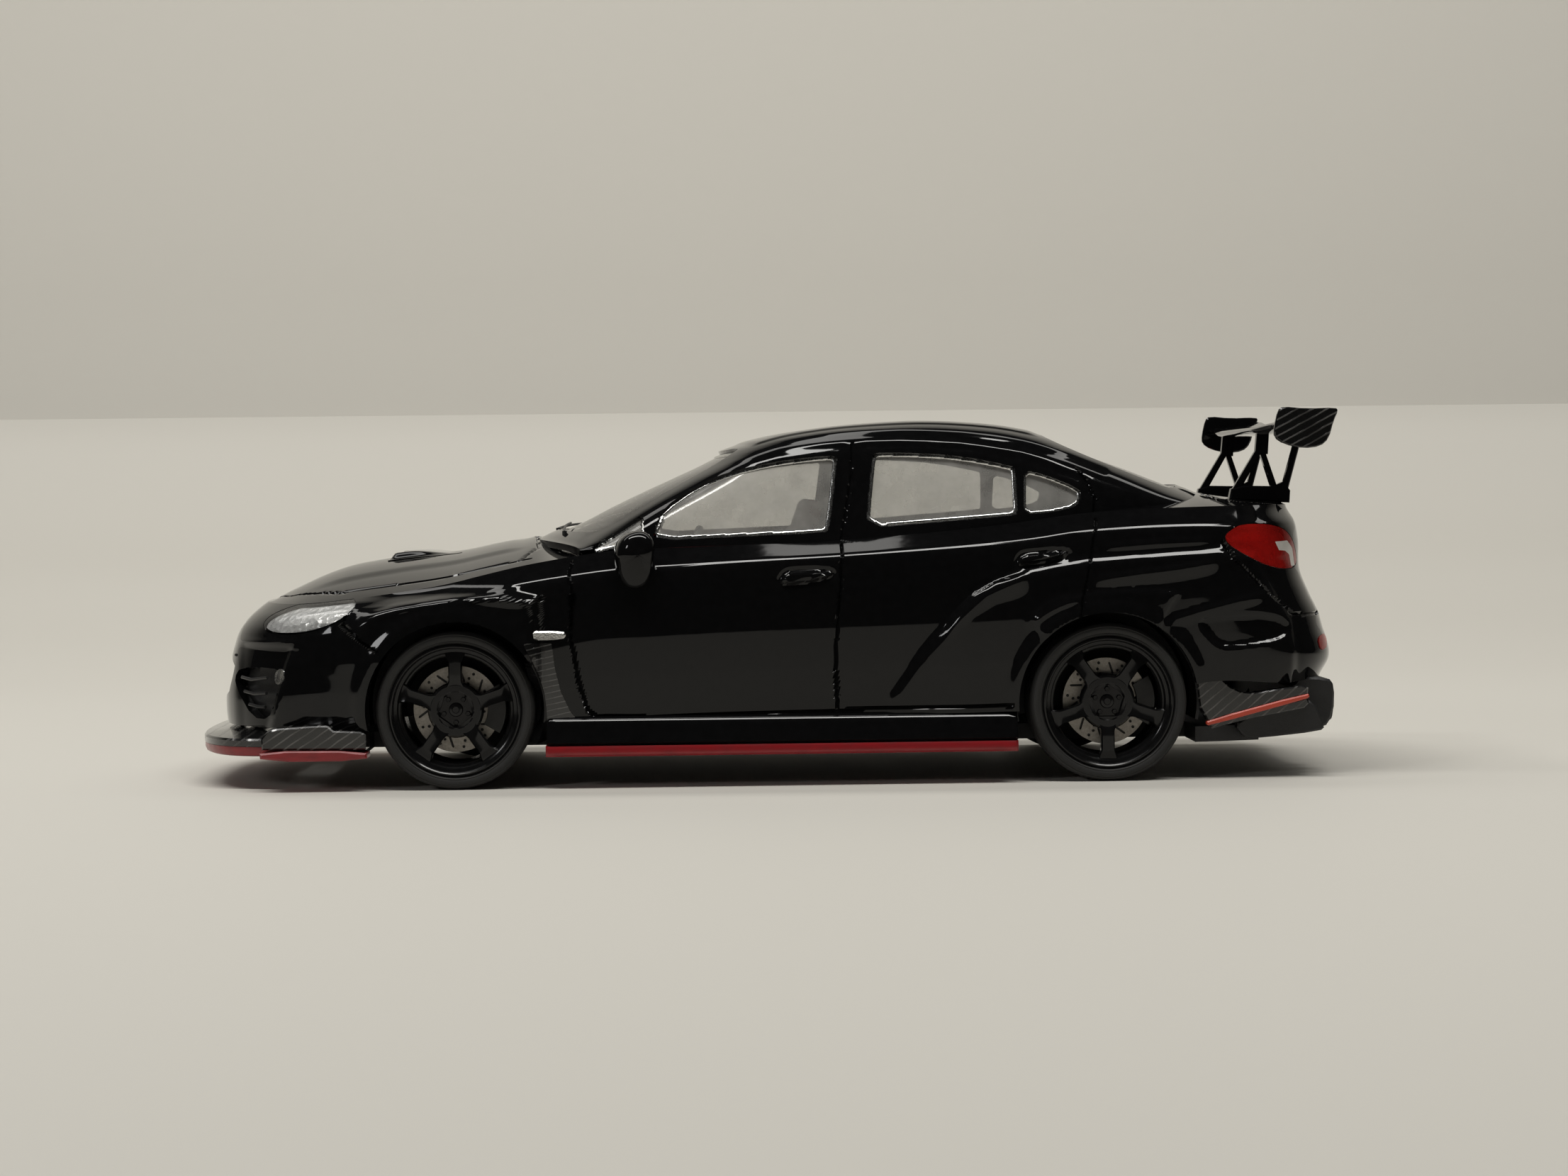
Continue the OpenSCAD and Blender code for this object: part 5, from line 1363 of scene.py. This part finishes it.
def truss(y):
    foot = plate([(30.3, 17.75), (30.45, 18.45), (31.2, 18.65), (33.2, 18.6), (33.9, 18.9), (34.35, 18.3),
                  (34.3, 17.5)], y - 0.4, y + 0.4, 0.1)
    top = plate([(32.05, 20.7), (32.2, 22.3), (33.0, 22.35), (32.9, 20.7)], y - 0.32, y + 0.32, 0.08)
    return merged(foot, top, strut((30.75, 18.3), (32.35, 21.0), 0.24, 0.2, y),
                  strut((33.35, 18.4), (32.5, 21.0), 0.2, 0.18, y),
                  strut((33.95, 18.2), (35.05, 22.2), 0.22, 0.2, y))


sided("wing_truss", truss(-6.6), "gloss_black", "gloss_black_paint", "wing_stay")
print("rear wing made")

# %% [markdown]
# ## Mirrors, bonnet scoop and wipers
# The mirrors are small rounded shells on a foot at the base of the door window. The bonnet carries a
# low scoop with a dark mouth, and two thin wiper arms rest on the scuttle.

# %% Small outside pieces
def mirror_shape():
    """Rounded shells of one side-view outline: it swells to the middle of the housing and shrinks at both ends."""
    outer = rounded([(-10.0, 14.7), (-9.75, 15.6), (-9.1, 16.15), (-8.2, 16.3), (-7.6, 15.9), (-7.4, 15.1),
                     (-7.55, 14.3),
                     (-7.75, 13.4), (-8.15, 12.75), (-8.9, 12.6), (-9.45, 13.0), (-9.8, 13.8)], 2)
    middle = np.array([-8.7, 14.75])
    t = spaced(-1, 1, 0.1)
    swell = np.maximum(1 - np.abs(t) ** 3, 0.002) ** (1 / 2.4)
    low = 1 - 0.45 * step(middle[1] - outer[:, 1], 0.2, 1.6)
    loops = []
    for place, size in zip(t, swell):
        flat = middle + (outer - middle) * size
        loops.append(np.stack([flat[:, 0] - 0.25 * place, -14.0 + 1.25 * place * low, flat[:, 1]], axis=1))
    foot = bar([(-8.9, -12.2, 14.6), (-8.9, -12.8, 14.55), (-8.85, -13.6, 14.5)], [0.55, 0.45, 0.4], 20)
    return merged(loft(loops), foot)


sided("door_mirror", mirror_shape(), "gloss_black", "gloss_black_paint", "mirror")


def scoop_shape():
    """Low scoop: its height over the bonnet rises to the mouth and falls away behind."""
    x = spaced(-25.2, -20.3, 0.14)
    y = spaced(-3.9, 3.9, 0.16)
    gx, gy = np.meshgrid(x, y, indexing="ij")
    base = bonnet_mid(gx) - 0.35 * (np.abs(gy) / 12.4) ** 2.2
    rise = 0.42 * step(gx, -25.2, -24.7) * step(-gx, 20.3, 24.0) * step(3.9 - np.abs(gy), 0, 0.7)
    mouth = 0.3 * step(gx, -24.95, -24.8) * step(-gx, 24.3, 24.45) * step(3.0 - np.abs(gy), 0, 0.15)
    return gx, gy, base + rise - mouth + 0.03


gx, gy, gz = scoop_shape()
mesh_piece("bonnet_scoop_shell", np.stack([gx, gy, gz], axis=-1), grid_faces(*gx.shape), "gloss_black",
           slot="gloss_black_paint",
           stands_for=["bonnet_scoop"], lip=0.15)


def wiper(y0, y1):
    t = np.linspace(0, 1, 16)
    y = y0 + (y1 - y0) * t
    x = -14.1 + 0.9 * t + 0.2 * (np.abs(y) / 10) ** 2 * 8
    z = roof_z(x - 2.2 * (y / 10) ** 2) + 0.03 + 0.05 * np.sin(t * math.pi)
    arm = bar(np.stack([x, y, z], axis=1), 0.07 + 0.03 * (1 - t), 8)
    pivot = bar([(x[0], y[0], z[0] - 0.4), (x[0], y[0], z[0] + 0.07)], 0.16, 14)
    return merged(arm, pivot)


mesh_piece("wiper_arms", *merged(wiper(-6.8, -0.6), wiper(0.6, 7.0)), "satin_black", slot="black_plastic",
           stands_for=["wipers"])
print("small outside pieces made")

# %% [markdown]
# ## Parts carried over from the engineering model
# The chassis, its screws, the axles, the tub and the seats keep their engineered shape: they are
# plain mouldings on the real model too. They only get their finishes here.

# %% Finishes on the carried-over parts
CARRIED = {"chassis_plate": "under_black", "interior_tub": "satin_black", "dashboard": "satin_black",
           "steering_wheel": "satin_black",
           "seat_front_left": "seat_red", "seat_front_right": "seat_red", "rear_bench": "seat_red",
           "chassis_screws": "bright_steel",
           "axle_front": "bright_steel", "axle_rear": "bright_steel"}
for node, finish in CARRIED.items():
    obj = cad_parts[node]
    obj.data.materials.clear()
    obj.data.materials.append(finishes[finish])
print("finished", len(CARRIED), "carried-over parts")


# %% [markdown]
# ## Studio and camera
# A plain pale floor that curves up behind the model, one large soft light overhead and two weaker
# ones, so that the black lacquer shows thin bright lines on its creases and stays dark elsewhere.

# %% Floor, lights and camera
def studio():
    profile = curve([(-170, 0), (-60, 0), (60, 0), (140, 0), (200, 6), (260, 30), (300, 90), (320, 420)])
    y = spaced(-170, 320, 6.0)
    x = spaced(-700, 700, 35.0)
    gx, gy = np.meshgrid(x, y, indexing="ij")
    points = np.stack([gx, gy, profile(gy) - 0.01], axis=-1)
    mesh = bpy.data.meshes.new("floor")
    faces = grid_faces(*gx.shape)
    mesh.from_pydata((points.reshape(-1, 3) * MM).tolist(), [], faces.tolist())
    for polygon in mesh.polygons:
        polygon.use_smooth = True
    floor = bpy.data.objects.new("floor", mesh)
    bpy.context.scene.collection.objects.link(floor)
    s = Shader("floor_pale")
    s.finish(s.surface(base_color=rgb(0.62, 0.6, 0.55), roughness=0.7))
    mesh.materials.append(finishes["floor_pale"])


def area_light(name, place, target, size, power, tone=(1, 1, 1)):
    data = bpy.data.lights.new(name, "AREA")
    data.shape, data.size, data.size_y = "RECTANGLE", size[0] * MM, size[1] * MM
    data.energy, data.color = power, tone
    obj = bpy.data.objects.new(name, data)
    bpy.context.scene.collection.objects.link(obj)
    obj.location = Vector(place) * MM
    obj.rotation_euler = (Vector(place) - Vector(target)).to_track_quat("Z", "Y").to_euler()


studio()
area_light("overhead", (-20, -90, 330), (0, 0, 0), (420, 46), 1.0, (1, 0.985, 0.95))
area_light("wall_wash", (0, 120, 330), (0, 300, 60), (700, 120), 0.8, (1, 0.98, 0.94))
area_light("front_fill", (-260, -260, 160), (0, 0, 10), (60, 60), 0.12)
world = bpy.data.worlds.new("studio")
bpy.context.scene.world = world
world.use_nodes = True
world.node_tree.nodes["Background"].inputs["Color"].default_value = (0.5, 0.49, 0.46, 1)
world.node_tree.nodes["Background"].inputs["Strength"].default_value = 0.03
camera_data = bpy.data.cameras.new("camera")
camera_data.lens, camera_data.sensor_width = 70.9, 36.0
camera_data.clip_start, camera_data.clip_end = 0.005, 5.0
camera = bpy.data.objects.new("camera", camera_data)
bpy.context.scene.collection.objects.link(camera)
right, up, back = (0.9996, -0.028, -0.011), (0.012, 0.0327, 0.9994), (-0.0276, -0.9991, 0.033)
turn = Matrix((right, up, back)).transposed()
camera.matrix_world = Matrix.Translation(Vector((-4.64, -209.2, 18.96)) * MM) @ turn.to_4x4()
bpy.context.scene.camera = camera
bpy.context.scene.view_settings.view_transform = "Standard"

# %% The end
print("scene ready")
